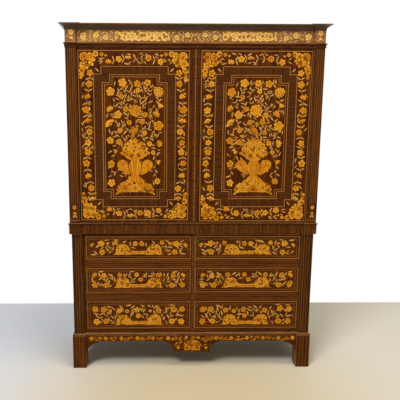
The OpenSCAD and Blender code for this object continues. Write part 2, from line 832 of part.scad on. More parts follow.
// Shield-shaped plate round a keyhole
module escutcheon(x, face, z, w, h) {
    difference() {
        translate([x, face, z]) rotate([90, 0, 0]) linear_extrude(escutcheon_t) hull() {
            translate([0, h / 2 - w / 2]) circle(d = w);
            translate([0, w / 5 - h / 2]) circle(r = w / 5);
        }
        keyhole(x, face - escutcheon_t - eps, face + eps, z);
    }
}

module upper_escutcheon() {
    color(brass) escutcheon(upper_key_x, upper_face_y, upper_key_z, escutcheon_w, escutcheon_h);
}

/* Lower leaves */

// A leaf whose back shows two sunk panels between stiles and rails
module lower_leaf(x0, x1) {
    middle_z = (lower_leaf_z0 + lower_leaf_z1) / 2;
    panels = [
        [lower_leaf_z0 + stile_w, middle_z - stile_w / 2], [middle_z + stile_w / 2, lower_leaf_z1 - stile_w]
    ];
    difference() {
        board(x0, x1, lower_face_y, lower_leaf_back, lower_leaf_z0, lower_leaf_z1);
        for (z = panels)
            board(x0 + stile_w, x1 - stile_w, lower_face_y + panel_t, lower_leaf_back + eps, z[0], z[1]);
    }
}

module lower_hinge_cuts() {
    at_hinges(lower_pivot_x, lower_pivot_y, lower_leaf_z0, lower_leaf_z1) hinge_leaf_cut();
}

module lower_left_door() {
    color(rosewood) difference() {
        lower_leaf(-lower_edge, lower_left_meet);
        mirror([1, 0, 0]) lower_hinge_cuts();
        at_lower_slips() slip_cut();
        for (z = lower_keys) {
            keep_block(lower_left_meet, lower_leaf_back, z, eps);
            keep_mortise(lower_left_meet, lower_leaf_back, z);
        }
    }
}

module lower_right_door() {
    color(rosewood) difference() {
        lower_leaf(lower_right_meet, lower_edge);
        lower_hinge_cuts();
        for (z = lower_keys) {
            lock_block(lower_right_meet, lower_leaf_back, lower_key_x, z, eps);
            keyhole(lower_key_x, lower_face_y - eps, lower_leaf_back, z);
        }
    }
}

// A half-round cock bead along the meeting edge
module lower_meeting_bead() {
    color(rosewood_dark) translate([lower_right_meet, lower_face_y, lower_leaf_z0])
        linear_extrude(lower_leaf_z1 - lower_leaf_z0) polygon(
            arc([meeting_bead_w / 2, 0], meeting_bead_w / 2, meeting_bead_out, 180, 360));
}

module lower_lock_cases() {
    color(brass) for (z = lower_keys)
        lock_case(lower_right_meet, lower_leaf_back, lower_face_y, lower_key_x, z);
}

module lower_top_lock_bolt() {
    color(steel) lock_bolt(lower_right_meet, lower_leaf_back, lower_key_high_z);
}

module lower_bottom_lock_bolt() {
    color(steel) lock_bolt(lower_right_meet, lower_leaf_back, lower_key_low_z);
}

module lower_escutcheons() {
    color(brass) for (z = lower_keys)
        escutcheon(lower_key_x, lower_face_y, z, lower_escutcheon_w, lower_escutcheon_h);
}

foot_front_left();
foot_front_right();
back_feet();
apron_front();
apron_sides();
base_moulding();
lower_bottom_board();
lower_side_left();
lower_side_right();
lower_pilaster_left();
lower_pilaster_right();
lower_back_boards();
lower_shelf();
lower_top_board();
waist_frame();
upper_bottom_board();
upper_side_left();
upper_side_right();
upper_pilaster_left();
upper_pilaster_right();
upper_head_rail();
upper_top_board();
upper_back_boards();
upper_shelf_low();
upper_shelf_middle();
upper_shelf_high();
shelf_cleats();
frieze_board();
frieze_blocks();
bead_moulding();
cornice_moulding();
cornice_top_board();
hinge_pin_plates();
upper_left_door_frame();
upper_left_door_panel();
upper_left_hinge_plates();
upper_left_bolt_plates();
upper_top_slip_bolt();
upper_bottom_slip_bolt();
upper_right_door_frame();
upper_right_door_panel();
upper_right_hinge_plates();
upper_astragal();
upper_lock_case();
upper_lock_bolt();
upper_escutcheon();
lower_left_door();
lower_left_hinge_plates();
lower_left_bolt_plates();
lower_top_slip_bolt();
lower_bottom_slip_bolt();
lower_right_door();
lower_right_hinge_plates();
lower_meeting_bead();
lower_lock_cases();
lower_top_lock_bolt();
lower_bottom_lock_bolt();
lower_escutcheons();
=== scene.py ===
# %% [markdown]
# # A marquetry press cupboard
# The cupboard is a carcase of oak boards faced with dark rosewood. Its four doors carry sawn-veneer
# flowers in lighter woods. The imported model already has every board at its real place, so this script
# adds what the solids don't have: the finishes, the inlay, the screws, a floor, light and a camera.
# Everything is in metres, and the inlay is drawn in millimetres because a maker measures it so.

import math
import random
from fnmatch import fnmatchcase

import bpy
from mathutils import Matrix, Vector


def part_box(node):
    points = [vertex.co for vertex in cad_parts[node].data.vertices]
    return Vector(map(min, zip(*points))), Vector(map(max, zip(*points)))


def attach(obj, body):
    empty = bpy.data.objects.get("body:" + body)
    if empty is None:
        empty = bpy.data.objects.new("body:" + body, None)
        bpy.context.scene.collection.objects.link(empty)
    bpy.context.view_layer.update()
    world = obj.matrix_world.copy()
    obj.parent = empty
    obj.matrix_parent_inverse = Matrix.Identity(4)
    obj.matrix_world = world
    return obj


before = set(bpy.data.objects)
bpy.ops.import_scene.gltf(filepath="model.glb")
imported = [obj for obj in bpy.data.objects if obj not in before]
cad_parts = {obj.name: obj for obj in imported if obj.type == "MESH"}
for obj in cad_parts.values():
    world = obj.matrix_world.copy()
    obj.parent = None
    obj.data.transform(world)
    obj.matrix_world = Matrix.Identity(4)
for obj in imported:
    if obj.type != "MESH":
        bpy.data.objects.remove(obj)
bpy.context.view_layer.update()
MM = 0.001


# %% [markdown]
# ## The camera
# The photograph was taken from nearly three metres away, at eye height and looking slightly down. A
# place, three angles and a lens describe that. The picture was framed off centre. A small shift of
# the lens gives that without turning the camera, so the upright lines lean as they do in the photograph.

# %% Camera at the photograph's viewing angle
EYE = (-0.2415, -2.9024, 1.4772)


def show(name, data):
    """A new object with the given data, put into the scene."""
    made = bpy.data.objects.new(name, data)
    bpy.context.scene.collection.objects.link(made)
    return made


def axes_of_view(yaw, pitch, roll):
    """Right, up and forward of a camera turned by yaw, tilted down by pitch and then rolled, in degrees."""
    yaw, pitch, roll = math.radians(yaw), math.radians(pitch), math.radians(roll)
    forward = Vector((math.sin(yaw) * math.cos(pitch), math.cos(yaw) * math.cos(pitch), -math.sin(pitch)))
    level = Vector((math.cos(yaw), -math.sin(yaw), 0))
    plumb = level.cross(forward)
    right = math.cos(roll) * level + math.sin(roll) * plumb
    return right, math.cos(roll) * plumb - math.sin(roll) * level, forward


right, up, forward = axes_of_view(yaw=0.853, pitch=8.58, roll=0.1225)
lens = bpy.data.cameras.new("studio_camera")
lens.lens = 40.5
lens.sensor_width = 36
lens.shift_x = 0.10
camera = show("studio_camera", lens)
turned = Matrix((right, up, -forward)).transposed().to_4x4()
camera.matrix_world = Matrix.Translation(EYE) @ turned
bpy.context.scene.camera = camera
bpy.context.scene.view_settings.view_transform = "Standard"
print("camera at:", EYE, "with a lens of", lens.lens, "mm")


# %% [markdown]
# ## Colours and nodes
# Colours are picked as hex values, the way they look on a screen. Shaders calculate in linear light,
# so one function converts them. Another one adds a shader node, sets its fields and joins its inputs,
# which keeps each material readable as a short list of steps.

# %% Helpers for colours, nodes and materials
def linear(colour):
    """The linear colour, with alpha, of an sRGB hex value."""
    parts = [int(colour[i:i + 2], 16) / 255 for i in (0, 2, 4)]
    return [c / 12.92 if c <= 0.04045 else ((c + 0.055) / 1.055) ** 2.4 for c in parts] + [1]


COLOURS = {"data_type": "RGBA"}


def join(tree, node, inputs):
    """Gives each input of a node a number, a colour, another node's output, or another node, which stands
    for its own result. Inputs go by number or by name, and of those that share a name the one in use counts."""
    for key, value in inputs.items():
        named = [socket for socket in node.inputs if socket.enabled and socket.name == key]
        socket = named[0] if named else node.inputs[key]
        if isinstance(value, bpy.types.Node):
            value = [output for output in value.outputs if output.enabled][0]
        if isinstance(value, bpy.types.NodeSocket):
            tree.links.new(value, socket)
        else:
            socket.default_value = value


def add(tree, kind, fields=None, inputs=None):
    """Adds a node, sets its fields and joins its inputs."""
    made = tree.nodes.new("ShaderNode" + kind)
    for name, value in (fields or {}).items():
        setattr(made, name, value)
    join(tree, made, inputs or {})
    return made


def new_material(name, **sockets):
    """A material with a Principled shader whose sockets are set by name; returns it, its tree and shader."""
    material = bpy.data.materials.new(name)
    material.use_nodes = True
    shader = material.node_tree.nodes["Principled BSDF"]
    join(material.node_tree, shader, {key.replace("_", " "): value for key, value in sockets.items()})
    return material, material.node_tree, shader


# %% [markdown]
# ## Floor, wall and light
# The cupboard stands on a plain pale floor before a white wall. The floor turns a little warmer to the
# right and in front of the doors. The wall is simply the world: rays from the camera, and rays that
# polish or glass send out, see pure white. The light on the object is separate and softer, so the wall
# is white without washing the wood out. It comes mostly from above, which leaves the dark shadow under
# the feet. A large cool lamp stands high in front on the left, like a window, and a smaller, warmer one
# hangs nearly overhead.

# %% The floor, with its far edge where the wall begins
FAR_EDGE = 0.853
FLOOR = [(-6, -5), (6, -5), (6, FAR_EDGE), (-6, FAR_EDGE)]
WARM_PLACE = (0.0, -0.62, 0.0)
mesh = bpy.data.meshes.new("floor")
mesh.from_pydata([(x, y, 0) for x, y in FLOOR], [], [range(4)])
floor = show("floor", mesh)
poured, tree, shader = new_material("poured_floor", Roughness=0.6, Specular_IOR_Level=0.2)
place = add(tree, "TexCoord")
along = add(tree, "SeparateXYZ", inputs={"Vector": place.outputs["Object"]})
across = add(tree, "MapRange", inputs={"Value": along.outputs["X"], "From Min": -1.4, "From Max": 1.0})
shade = add(tree, "Mix", COLOURS, {"Factor": across, "A": linear("b6b7b6"), "B": linear("bdb7a5")})
middle = add(tree, "VectorMath", {"operation": "DISTANCE"}, {0: place.outputs["Object"], 1: WARM_PLACE})
warm = add(tree, "MapRange", {"interpolation_type": "SMOOTHSTEP"},
           {"Value": middle, "From Min": 1.5, "From Max": 0.2, "To Max": 0.8})
shade = add(tree, "Mix", COLOURS, {"Factor": warm, "A": shade, "B": linear("ac9a70")})
join(tree, shader, {"Base Color": shade})
mesh.materials.append(poured)
print("floor reaches back to:", FAR_EDGE)

# %% The white wall is the world, seen only by camera, mirror and glass rays
DIM, BRIGHT = 0.02, 0.7
LIT_FROM = (-0.1, -0.3, 0.95)
world = bpy.data.worlds.new("studio")
bpy.context.scene.world = world
world.use_nodes = True
tree = world.node_tree
rays = add(tree, "LightPath")
seen = add(tree, "Math", {"operation": "MAXIMUM"},
           {0: rays.outputs["Is Camera Ray"], 1: rays.outputs["Is Glossy Ray"]})
seen = add(tree, "Math", {"operation": "MAXIMUM"}, {0: seen, 1: rays.outputs["Is Transmission Ray"]})
place = add(tree, "TexCoord")
facing = add(tree, "VectorMath", {"operation": "DOT_PRODUCT"}, {0: place.outputs["Generated"], 1: LIT_FROM})
ambient = add(tree, "MapRange", inputs={"Value": facing, "From Min": -0.05, "To Min": DIM, "To Max": BRIGHT})
strength = add(tree, "Mix", inputs={"Factor": seen, "A": ambient, "B": 1.0})
join(tree, tree.nodes["Background"], {"Strength": strength, "Color": linear("ffffff")})
print("light from the wall and the sky, least and most:", DIM, BRIGHT)


# %% Two soft lamps
def soft_lamp(name, place, target, size, power, colour):
    """A square area lamp that looks at a target."""
    lamp = bpy.data.lights.new(name, "AREA")
    lamp.size, lamp.energy, lamp.color = size, power, linear(colour)[:3]
    stand = show(name, lamp)
    stand.location = place
    stand.rotation_euler = (Vector(target) - Vector(place)).to_track_quat("-Z", "Y").to_euler()


soft_lamp("window_lamp", (-2.8, -4.6, 7.4), (0, -0.2, 1.2), 2.4, 740, "e8eeff")
soft_lamp("ceiling_lamp", (0.8, -1.3, 6.2), (0, -0.4, 0), 2.0, 220, "fff4e4")
print("lamps:", [light.name for light in bpy.data.lights])


# %% [markdown]
# ## Dark wood, in veneer and in the solid
# Rosewood is a heavy tropical wood with nearly black streaks on red-brown. Here it is sawn into
# veneer, glued on oak and waxed, so it shines softly and its pores stay open. Wood grain is long and
# thin, so a noise pattern is squeezed across the grain and left long along it. A coarse figure and a
# fine streak are mixed, and a third, finer noise cuts the pores. The real pores are a third of a
# millimetre wide. They are drawn three times as coarse, so that they show at all in a picture this size.

# %% Grain, and the woods made with it
GRAIN_STRETCH = 14


def grain(tree, along, width, detail=3):
    """Noise in blots that are width millimetres across the grain and many times longer along it."""
    scale = [1 / (width * MM)] * 3
    scale["XYZ".index(along)] /= GRAIN_STRETCH
    place = add(tree, "TexCoord")
    squeezed = add(tree, "Mapping", inputs={"Vector": place.outputs["Object"], "Scale": scale})
    return add(tree, "TexNoise", inputs={"Vector": squeezed, "Scale": 1, "Detail": detail})


def streaks(tree, dark, light, along, figure, fine):
    """Colour of a streaked wood: broad figure and fine streaks, between its dark and light tones."""
    both = add(tree, "Mix",
               inputs={"Factor": 0.45, "A": grain(tree, along, figure), "B": grain(tree, along, fine)})
    spread = add(tree, "MapRange", inputs={"Value": both, "From Min": 0.36, "From Max": 0.64})
    return add(tree, "Mix", COLOURS, {"Factor": spread, "A": linear(dark), "B": linear(light)}), both


def outer_faces(tree):
    """1 on faces that look forward or outward to the sides, 0 on the rest."""
    place = add(tree, "TexCoord")
    normal = add(tree, "SeparateXYZ", inputs={"Vector": place.outputs["Normal"]})
    point = add(tree, "SeparateXYZ", inputs={"Vector": place.outputs["Object"]})
    forward = add(tree, "Math", {"operation": "LESS_THAN"}, {0: normal.outputs["Y"], 1: -0.5})
    away = add(tree, "Math", {"operation": "MULTIPLY"}, {0: normal.outputs["X"], 1: point.outputs["X"]})
    outward = add(tree, "Math", {"operation": "GREATER_THAN"}, {0: away, 1: 0.3})
    return add(tree, "Math", {"operation": "MAXIMUM"}, {0: forward, 1: outward})


# %% A waxed wood, with its pores
WAX_IOR = 1.5
PORE = "1c0a05"


def wood(name, dark, light, along="Z", figure=18, fine=3, leaf=0, core=None, roughness=0.42, gloss=0.04):
    """A waxed wood. leaf is the width in mm of veneer leaves or boards that lie side by side along X, and
    core is the plain wood behind a veneer: its dark and light tones and its grain."""
    material, tree, shader = new_material(name, Specular_IOR_Level=gloss, IOR=WAX_IOR)
    colour, relief = streaks(tree, dark, light, along, figure, fine)
    if leaf:
        place = add(tree, "TexCoord")
        across = add(tree, "SeparateXYZ", inputs={"Vector": place.outputs["Object"]})
        count = add(tree, "Math", {"operation": "SNAP"}, {0: across.outputs["X"], 1: leaf * MM})
        tone = add(tree, "TexWhiteNoise", {"noise_dimensions": "1D"}, {"W": count})
        share = add(tree, "MapRange", inputs={"Value": tone, "To Min": 0, "To Max": 0.75})
        colour = add(tree, "Mix", COLOURS, {"Factor": share, "A": colour, "B": linear(dark)})
    if core:
        plain, _ = streaks(tree, *core, figure=25, fine=4)
        colour = add(tree, "Mix", COLOURS, {"Factor": outer_faces(tree), "A": plain, "B": colour})
    pores = grain(tree, along, 1.0, detail=1)
    cut = add(tree, "MapRange", inputs={"Value": pores, "From Min": 0.64, "From Max": 0.70})
    colour = add(tree, "Mix", COLOURS, {"Factor": cut, "A": colour, "B": linear(PORE)})
    relief = add(tree, "Math", {"operation": "SUBTRACT"}, {0: relief, 1: cut})
    waxed = add(tree, "MapRange",
                inputs={"Value": relief, "To Min": roughness + 0.06, "To Max": roughness - 0.06})
    bump = add(tree, "Bump", inputs={"Strength": 0.35, "Distance": 0.3 * MM, "Height": relief})
    join(tree, shader, {"Base Color": colour, "Roughness": waxed, "Normal": bump})
    return material


# %% The rosewoods, from the front to the sides
OAK_CORE = ("5d3f22", "8a6438", "Z")
MOULDED = dict(along="X", figure=8, core=OAK_CORE)
rosewood_upright = wood("rosewood_veneer_upright", "281003", "5e2d06", core=OAK_CORE)
rosewood_level = wood("rosewood_veneer_level", "2e1403", "623208", along="X", core=OAK_CORE)
rosewood_pilaster = wood("rosewood_veneer_pilaster", "281203", "5c3008", figure=9, fine=2.5, core=OAK_CORE)
crossband = wood("rosewood_crossband", "301606", "7a4410", figure=4, fine=2, leaf=7, core=OAK_CORE)
# Painted light: the frieze gets a paler rosewood than the rest, for its sheen high up and to lift it in the
# cornice's shadow.
rosewood_painted_light = wood("rosewood_veneer_painted_light", "6a4220", "ac7840", along="X", core=OAK_CORE)
moulding_wood = wood("rosewood_moulding", "2d1406", "623510", roughness=0.36, **MOULDED)
# Painted highlight: the base moulding and the lower meeting bead get a lighter rosewood for the light along
# their edges.
painted_highlight_moulding = wood("rosewood_moulding_painted_highlight", "3e200c", "744a20", roughness=0.36, **MOULDED)
# The cornice's greyer tones are partly painted sheen; its higher gloss reflects for real as well.
cornice_wood = wood("rosewood_cornice", "3a2214", "664630", roughness=0.3, gloss=0.3, **MOULDED)
# Painted shade: the lower pilasters get a darker rosewood, as the light falls off towards the floor.
low_pilaster_painted_shade = wood("rosewood_veneer_pilaster_low_painted_shade", "221003", "502a08", figure=9, fine=2.5, core=OAK_CORE)
stained_side = wood("rosewood_veneer_side", "2c1206", "5c2f10", figure=30, core=OAK_CORE)
print("rosewood on the doors:", rosewood_upright.name, "and on the mouldings:", moulding_wood.name)

# %% [markdown]
# ## Plain oak
# The boards behind the veneer are oak. Inside it is bare and only lightly waxed, so it shines less than
# the rosewood. The back is made of boards side by side, each from another plank. The shader counts
# their width across the press and gives each count its own tone. The width is measured on the packed
# boards, so the tone changes where one board meets the next.

# %% Oak for the inside, and for back boards that differ in tone from one to the next
BACK_BOARDS = 6


def board_width(stage):
    """The width of one back board of a stage, in millimetres."""
    low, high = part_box(stage + "_back_boards")
    return (high.x - low.x) / MM / BACK_BOARDS


oak_back_high, oak_back_low = [
    wood(name, "63421f", "a57c48", figure=25, roughness=0.55, leaf=board_width(stage))
    for name, stage in (("oak_back_high", "upper"), ("oak_back_low", "lower"))]
print("width of a back board in mm:", round(board_width("upper"), 1), round(board_width("lower"), 1))
oak_level = wood("oak_board_level", "6a4a29", "99713f", along="X", figure=25, roughness=0.55)
print("materials so far, with the packed ones:", len(bpy.data.materials))


# %% [markdown]
# ## Brass and steel
# Hinge plates, bolts and their plates are filed brass, yellow and softly scratched. The keyhole
# plates have been handled and waxed over for two centuries, so their brass has browned and gone green
# in places, like that of the lock cases. The lock bolts are plain steel. A metal's colour is in its
# reflection, and its scratches are best drawn in the roughness, because that's where the eye finds them.

# %% Three metals
BLOT, SCRATCH = 9, 0.5


def metal(name, colour, tarnish, share, roughness):
    """A metal in its own colour, scratched, with blots of tarnish over a share of it."""
    material, tree, shader = new_material(name, Metallic=1)
    place = add(tree, "TexCoord")
    blots = add(tree, "TexNoise",
                inputs={"Vector": place.outputs["Object"], "Scale": 1 / (BLOT * MM), "Detail": 4})
    cover = add(tree, "MapRange", inputs={"Value": blots, "From Min": 0.75 - share, "From Max": 0.85 - share})
    mixed = add(tree, "Mix", COLOURS, {"Factor": cover, "A": linear(colour), "B": linear(tarnish)})
    filed = add(tree, "MapRange", inputs={"Value": grain(tree, "X", SCRATCH),
                                          "To Min": roughness - 0.12, "To Max": roughness + 0.15})
    join(tree, shader, {"Base Color": mixed, "Roughness": filed})
    return material


filed_brass = metal("filed_brass", "c79a4b", "8a6a38", 0.2, 0.34)
browned_brass = metal("browned_brass", "7a6238", "3f3a26", 0.35, 0.5)
bright_steel = metal("bright_steel", "b4b2ad", "7c766d", 0.2, 0.32)
print("metals:", filed_brass.name, browned_brass.name, bright_steel.name)

# %% [markdown]
# ## Which piece has which finish
# A piece is veneered, moulded, plain oak or metal because of what it does, and its name tells that. So
# each finish has a list of patterns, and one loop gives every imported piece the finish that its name
# fits. It first prints the names that fit no finish or more than one, and there should be none.

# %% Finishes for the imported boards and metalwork, by patterns that their names follow
FINISHES = {
    rosewood_upright: ["upper_*_door_*"],
    rosewood_level: ["lower_*_door", "apron_*"],
    rosewood_painted_light: ["frieze_*"],
    rosewood_pilaster: ["upper_pilaster_*", "foot_front_*", "back_feet"],
    low_pilaster_painted_shade: ["lower_pilaster_*"],
    stained_side: ["*_side_*"],
    crossband: ["waist_frame"],
    painted_highlight_moulding: ["base_moulding", "lower_meeting_bead"],
    cornice_wood: ["cornice_moulding"],
    moulding_wood: ["upper_bottom_board", "bead_moulding", "upper_astragal"],
    oak_back_high: ["upper_back_boards"],
    oak_back_low: ["lower_back_boards"],
    oak_level: ["lower_bottom_board", "*_top_board", "*_shelf*", "shelf_cleats", "upper_head_rail"],
    filed_brass: ["*_plates", "*_slip_bolt"],
    browned_brass: ["*_escutcheon*", "*_lock_case*"],
    bright_steel: ["*_lock_bolt"],
}
fits = {name: [finish for finish, patterns in FINISHES.items() if any(fnmatchcase(name, p) for p in patterns)]
        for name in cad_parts}
print("names that don't fit just one finish:", [name for name, found in fits.items() if len(found) != 1])
for name, found in fits.items():
    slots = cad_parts[name].data.materials
    for i in range(len(slots)):
        slots[i] = found[0]
print("finished pieces:", len(fits))


# %% [markdown]
# ## Marquetry woods
# The flowers are sawn from pale woods. Satinwood is golden, maple is paler, and sycamore is the palest.
# Boxwood and the browner tulipwood make the fine lines. Each chip was dipped in hot sand at one edge,
# which browns it and makes a flat petal look curved. So every chip here carries two numbers: how far a
# point is scorched, and the small difference in tone between one piece of veneer and the next. The
# shader reads both.

# %% Pale woods with scorched edges
def inlay_wood(name, pale, deep, burnt, scorch):
    """A pale veneer whose chips differ in tone and brown towards their scorched points."""
    material, tree, shader = new_material(name, Specular_IOR_Level=0.04, IOR=WAX_IOR, Roughness=0.42)
    tone = add(tree, "Attribute", {"attribute_name": "tone"}).outputs["Fac"]
    fibre = add(tree, "Mix", inputs={"Factor": 0.3, "A": tone, "B": grain(tree, "Z", 1.5)})
    wooden = add(tree, "Mix", COLOURS, {"Factor": fibre, "A": linear(pale), "B": linear(deep)})
    burn = add(tree, "Attribute", {"attribute_name": "burn"}).outputs["Fac"]
    soft = add(tree, "Math", {"operation": "POWER"}, {0: burn, 1: 1.6})
    share = add(tree, "Math", {"operation": "MULTIPLY"}, {0: soft, 1: scorch})
    shaded = add(tree, "Mix", COLOURS, {"Factor": share, "A": wooden, "B": linear(burnt)})
    join(tree, shader, {"Base Color": shaded})
    return material


WOODS = {
    "satinwood": inlay_wood("satinwood_scorched", "e0951e", "b26308", "5c2806", 0.8),
    # Pale maple is maple painted paler, as light for the leaves on the frieze, which the cornice shades.
    "pale_maple": inlay_wood("pale_maple_scorched", "eebb6c", "cc9648", "6c380c", 0.6),
    "maple": inlay_wood("maple_scorched", "dca450", "b07a30", "5a2e0a", 0.6),
    "golden_satinwood": inlay_wood("golden_satinwood_scorched", "eaa22c", "c67a14", "62300a", 0.75),
    # Sycamore's tones are raised as painted light, for the frieze that the cornice shades.
    "sycamore": inlay_wood("sycamore_scorched", "ffd070", "f4ae46", "6c380c", 0.8),
    "boxwood": inlay_wood("boxwood_line", "ac7638", "935f28", "8a5528", 0.3),
    "tulipwood": inlay_wood("tulipwood_line", "875326", "6d4019", "5a3418", 0.3),
    "crossband_upright": wood("rosewood_crossband_upright", "2e1504", "5a300c", figure=8, fine=2),
    "crossband_level": wood("rosewood_crossband_level", "2e1504", "5a300c", along="X", figure=8, fine=2),
    "brass": filed_brass,
    "old_brass": browned_brass,
}
print("woods and metals for small pieces:", len(WOODS))


# %% [markdown]
# ## Sawing and laying the chips
# A marquetry maker saws each petal and leaf, and lays them together in a bed cut into the ground
# veneer. A hair of glue shows dark between them. A picture could fake that, but real chips catch the
# light at their edges and can be counted, so each one is a thin closed prism that sits in the face and
# stands proud by 0.1 to 0.4 mm, each wood at its own height, as old chips do when the ground has shrunk.
# Neighbours differ by a hair in height, so where a stem crosses a leaf, one of them clearly lies on top.

# %% Outlines, and how proud each wood lies
SUNK = 0.6  # in millimetres, like all heights here
PROUD = {"crossband_upright": 0.1, "crossband_level": 0.1, "tulipwood": 0.16, "boxwood": 0.22, "maple": 0.26,
         "pale_maple": 0.26, "golden_satinwood": 0.34, "sycamore": 0.38, "old_brass": 0.08}
OTHERS_PROUD = 0.3
HAIR, HEIGHTS = 0.0024, 16  # the chips of one wood take this many heights in turn, a hair apart
tones = random.Random(3)
laid = []


def edges(outline):
    """Each point of a closed outline with the next one."""
    return zip(outline, outline[1:] + outline[:1])


def area(outline):
    """Signed area of an outline; it is positive when the points run anticlockwise."""
    return sum(a[0] * b[1] - b[0] * a[1] for a, b in edges(outline)) / 2


print("tallest chip, in mm:", round(max(PROUD.values()) + (HEIGHTS - 1) * HAIR, 3))


# %% A bed that collects chips and makes one mesh for each wood
class Bed:
    """A flat face that takes inlay. Outlines are in millimetres across and up that face."""

    def __init__(self, name, body, corner, across=(1, 0, 0), up=(0, 0, 1)):
        self.name, self.body = name, body
        self.corner, self.across, self.up = Vector(corner), Vector(across), Vector(up)
        self.out = self.across.cross(self.up)
        self.woods, self.taken, self.within, self.leaf_wood = {}, [], None, "maple"

    def chip(self, wood, outline, burn=None, tone=None):
        """Adds one chip. burn is how far each of its points is scorched, and tone how deep its colour is."""
        burn = burn or [0] * len(outline)
        tone = tones.random() if tone is None else min(1, max(0, tone))
        if area(outline) < 0:
            outline, burn = outline[::-1], burn[::-1]
        self.woods.setdefault(wood, []).append((outline, burn, tone))

    def take(self, x, z, r):
        """Marks a round place as used."""
        self.taken.append((x, z, r))

    def free(self, x, z, r):
        """True when a round place is clear of all that is marked."""
        return all((x - a) ** 2 + (z - b) ** 2 > (r + c) ** 2 for a, b, c in self.taken)

    def lay(self):
        """Makes the meshes, each a group of thin closed prisms that ride on the bed's body."""
        for wood, chips in self.woods.items():
            points, faces, burns, shades = [], [], [], []
            for k, (outline, burn, tone) in enumerate(chips):
                first, n = len(points), len(outline)
                for height in (PROUD.get(wood, OTHERS_PROUD) + k % HEIGHTS * HAIR, -SUNK):
                    points += [self.corner + self.across * x * MM + self.up * z * MM + self.out * height * MM
                               for x, z in outline]
                faces.append(list(range(first, first + n)))
                faces.append(list(range(first + 2 * n - 1, first + n - 1, -1)))
                for i in range(n):
                    j = (i + 1) % n
                    faces.append([first + i, first + n + i, first + n + j, first + j])
                burns += burn * 2
                shades += [tone] * (2 * n)
            mesh = bpy.data.meshes.new(f"{self.name}_{wood}")
            mesh.from_pydata(points, [], faces)
            mesh.attributes.new("burn", "FLOAT", "POINT").data.foreach_set("value", burns)
            mesh.attributes.new("tone", "FLOAT", "POINT").data.foreach_set("value", shades)
            mesh.materials.append(WOODS[wood])
            piece = show(mesh.name, mesh)
            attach(piece, self.body)
            laid.append(piece)
        print(self.name, {wood: len(chips) for wood, chips in self.woods.items()})


def front_bed(name, body, node):
    """A bed on the front face of a packed board."""
    return Bed(name, body, (0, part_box(node)[0].y, 0))


# %% [markdown]
# ## Petals, flowers and leaves
# Traditional patterns repeat a few flowers: roses in rings of broad petals, daisies with narrow ones,
# tulips, carnations and buds. Each is a ring of petals between two radii, so one function makes them
# all. Every petal is a little larger or smaller than its neighbour, because a fret saw is guided by hand.

# %% Placing points and outlines
UP, DOWN = math.pi / 2, -math.pi / 2


def polar(radius, angle):
    """The point at a radius and an angle from the middle."""
    return radius * math.cos(angle), radius * math.sin(angle)


def off(x, z, distance, way):
    """The place that lies at a distance and an angle from x, z."""
    return x + distance * math.cos(way), z + distance * math.sin(way)


def placed(outline, x, z, turn=0):
    """An outline turned by an angle and moved to x, z."""
    c, s = math.cos(turn), math.sin(turn)
    return [(x + c * a - s * b, z + s * a + c * b) for a, b in outline]


def square_to(a, b):
    """The unit vector that points to the right of the way from a to b."""
    length = math.dist(a, b)
    return (b[1] - a[1]) / length, (a[0] - b[0]) / length


# %% One petal, and a ring of petals
CUT = 0.7  # the gap between two petals, in millimetres


def petal(inner, outer, start, end, droop, sharp):
    """A petal between two radii and two angles. droop is how far its corners fall back, and a low
    sharp makes it pointed. Returns its outline and how far each point is scorched."""
    gap_out, gap_in = CUT / 2 / outer, CUT / 2 / max(inner, CUT)
    wide = end - start - 2 * gap_out
    rim = [polar(outer * (1 - droop * abs(2 * t - 1) ** sharp), start + gap_out + wide * t)
           for t in (0, 0.25, 0.5, 0.75, 1)]
    ends = (end - gap_in, start + gap_in) if end - start > 2.4 * gap_in else ((start + end) / 2,)
    return rim + [polar(inner + CUT / 2, angle) for angle in ends], [0] * len(rim) + [1] * len(ends)


def ring(bed, wood, x, z, inner, outer, count, turn, droop, sharp, part=math.tau):
    """Petals side by side round x, z, through part of a turn."""
    for i in range(count):
        start = turn + part * i / count
        grown = outer * tones.uniform(0.9, 1.08)
        outline, burn = petal(inner, grown, start, start + part / count, droop, sharp)
        bed.chip(wood, placed(outline, x, z), burn, tones.uniform(0, 0.7))


# %% Round chips, leaves and stems
def disc(bed, wood, x, z, r, burn=1.0, sides=7):
    """A small round chip."""
    bed.chip(wood, placed([polar(r, math.tau * i / sides) for i in range(sides)], x, z), [burn] * sides)


def leaf(bed, x, z, length, width, turn):
    """A pointed leaf in two chips, split along its midrib."""
    for side in (1, -1):
        rib = side * 0.15
        edge = [(length * t, rib + side * width * bulge / 2)
                for t, bulge in ((0.12, 0.6), (0.4, 1), (0.75, 0.72))]
        outline = [(0, rib)] + edge + [(length, rib)]
        burn = [0.7, 0.2, 0, 0, 0.3] if side > 0 else [0.8, 0.6, 0.4, 0.3, 0.3]
        bed.chip(bed.leaf_wood, placed(outline, x, z, turn), burn)


def strip(bed, wood, path, width):
    """A narrow bent strip along a path, as for a stem or a scroll."""
    left, right = [], []
    for i, (x, z) in enumerate(path):
        across, up = square_to(path[max(i - 1, 0)], path[min(i + 1, len(path) - 1)])
        left.append((x - across * width / 2, z - up * width / 2))
        right.append((x + across * width / 2, z + up * width / 2))
    bed.chip(wood, right + left[::-1], [0.5] * (2 * len(path)))


def bow(a, b, bend, steps=8):
    """Points along a curve from a to b that swings aside by bend times its length."""
    mid = ((a[0] + b[0]) / 2 - (b[1] - a[1]) * bend, (a[1] + b[1]) / 2 + (b[0] - a[0]) * bend)
    return [tuple((1 - t) ** 2 * a[k] + 2 * t * (1 - t) * mid[k] + t * t * b[k] for k in (0, 1))
            for t in (i / steps for i in range(steps + 1))]


# %% The flowers, each drawn inside a circle
MIXED = ("satinwood", "golden_satinwood")
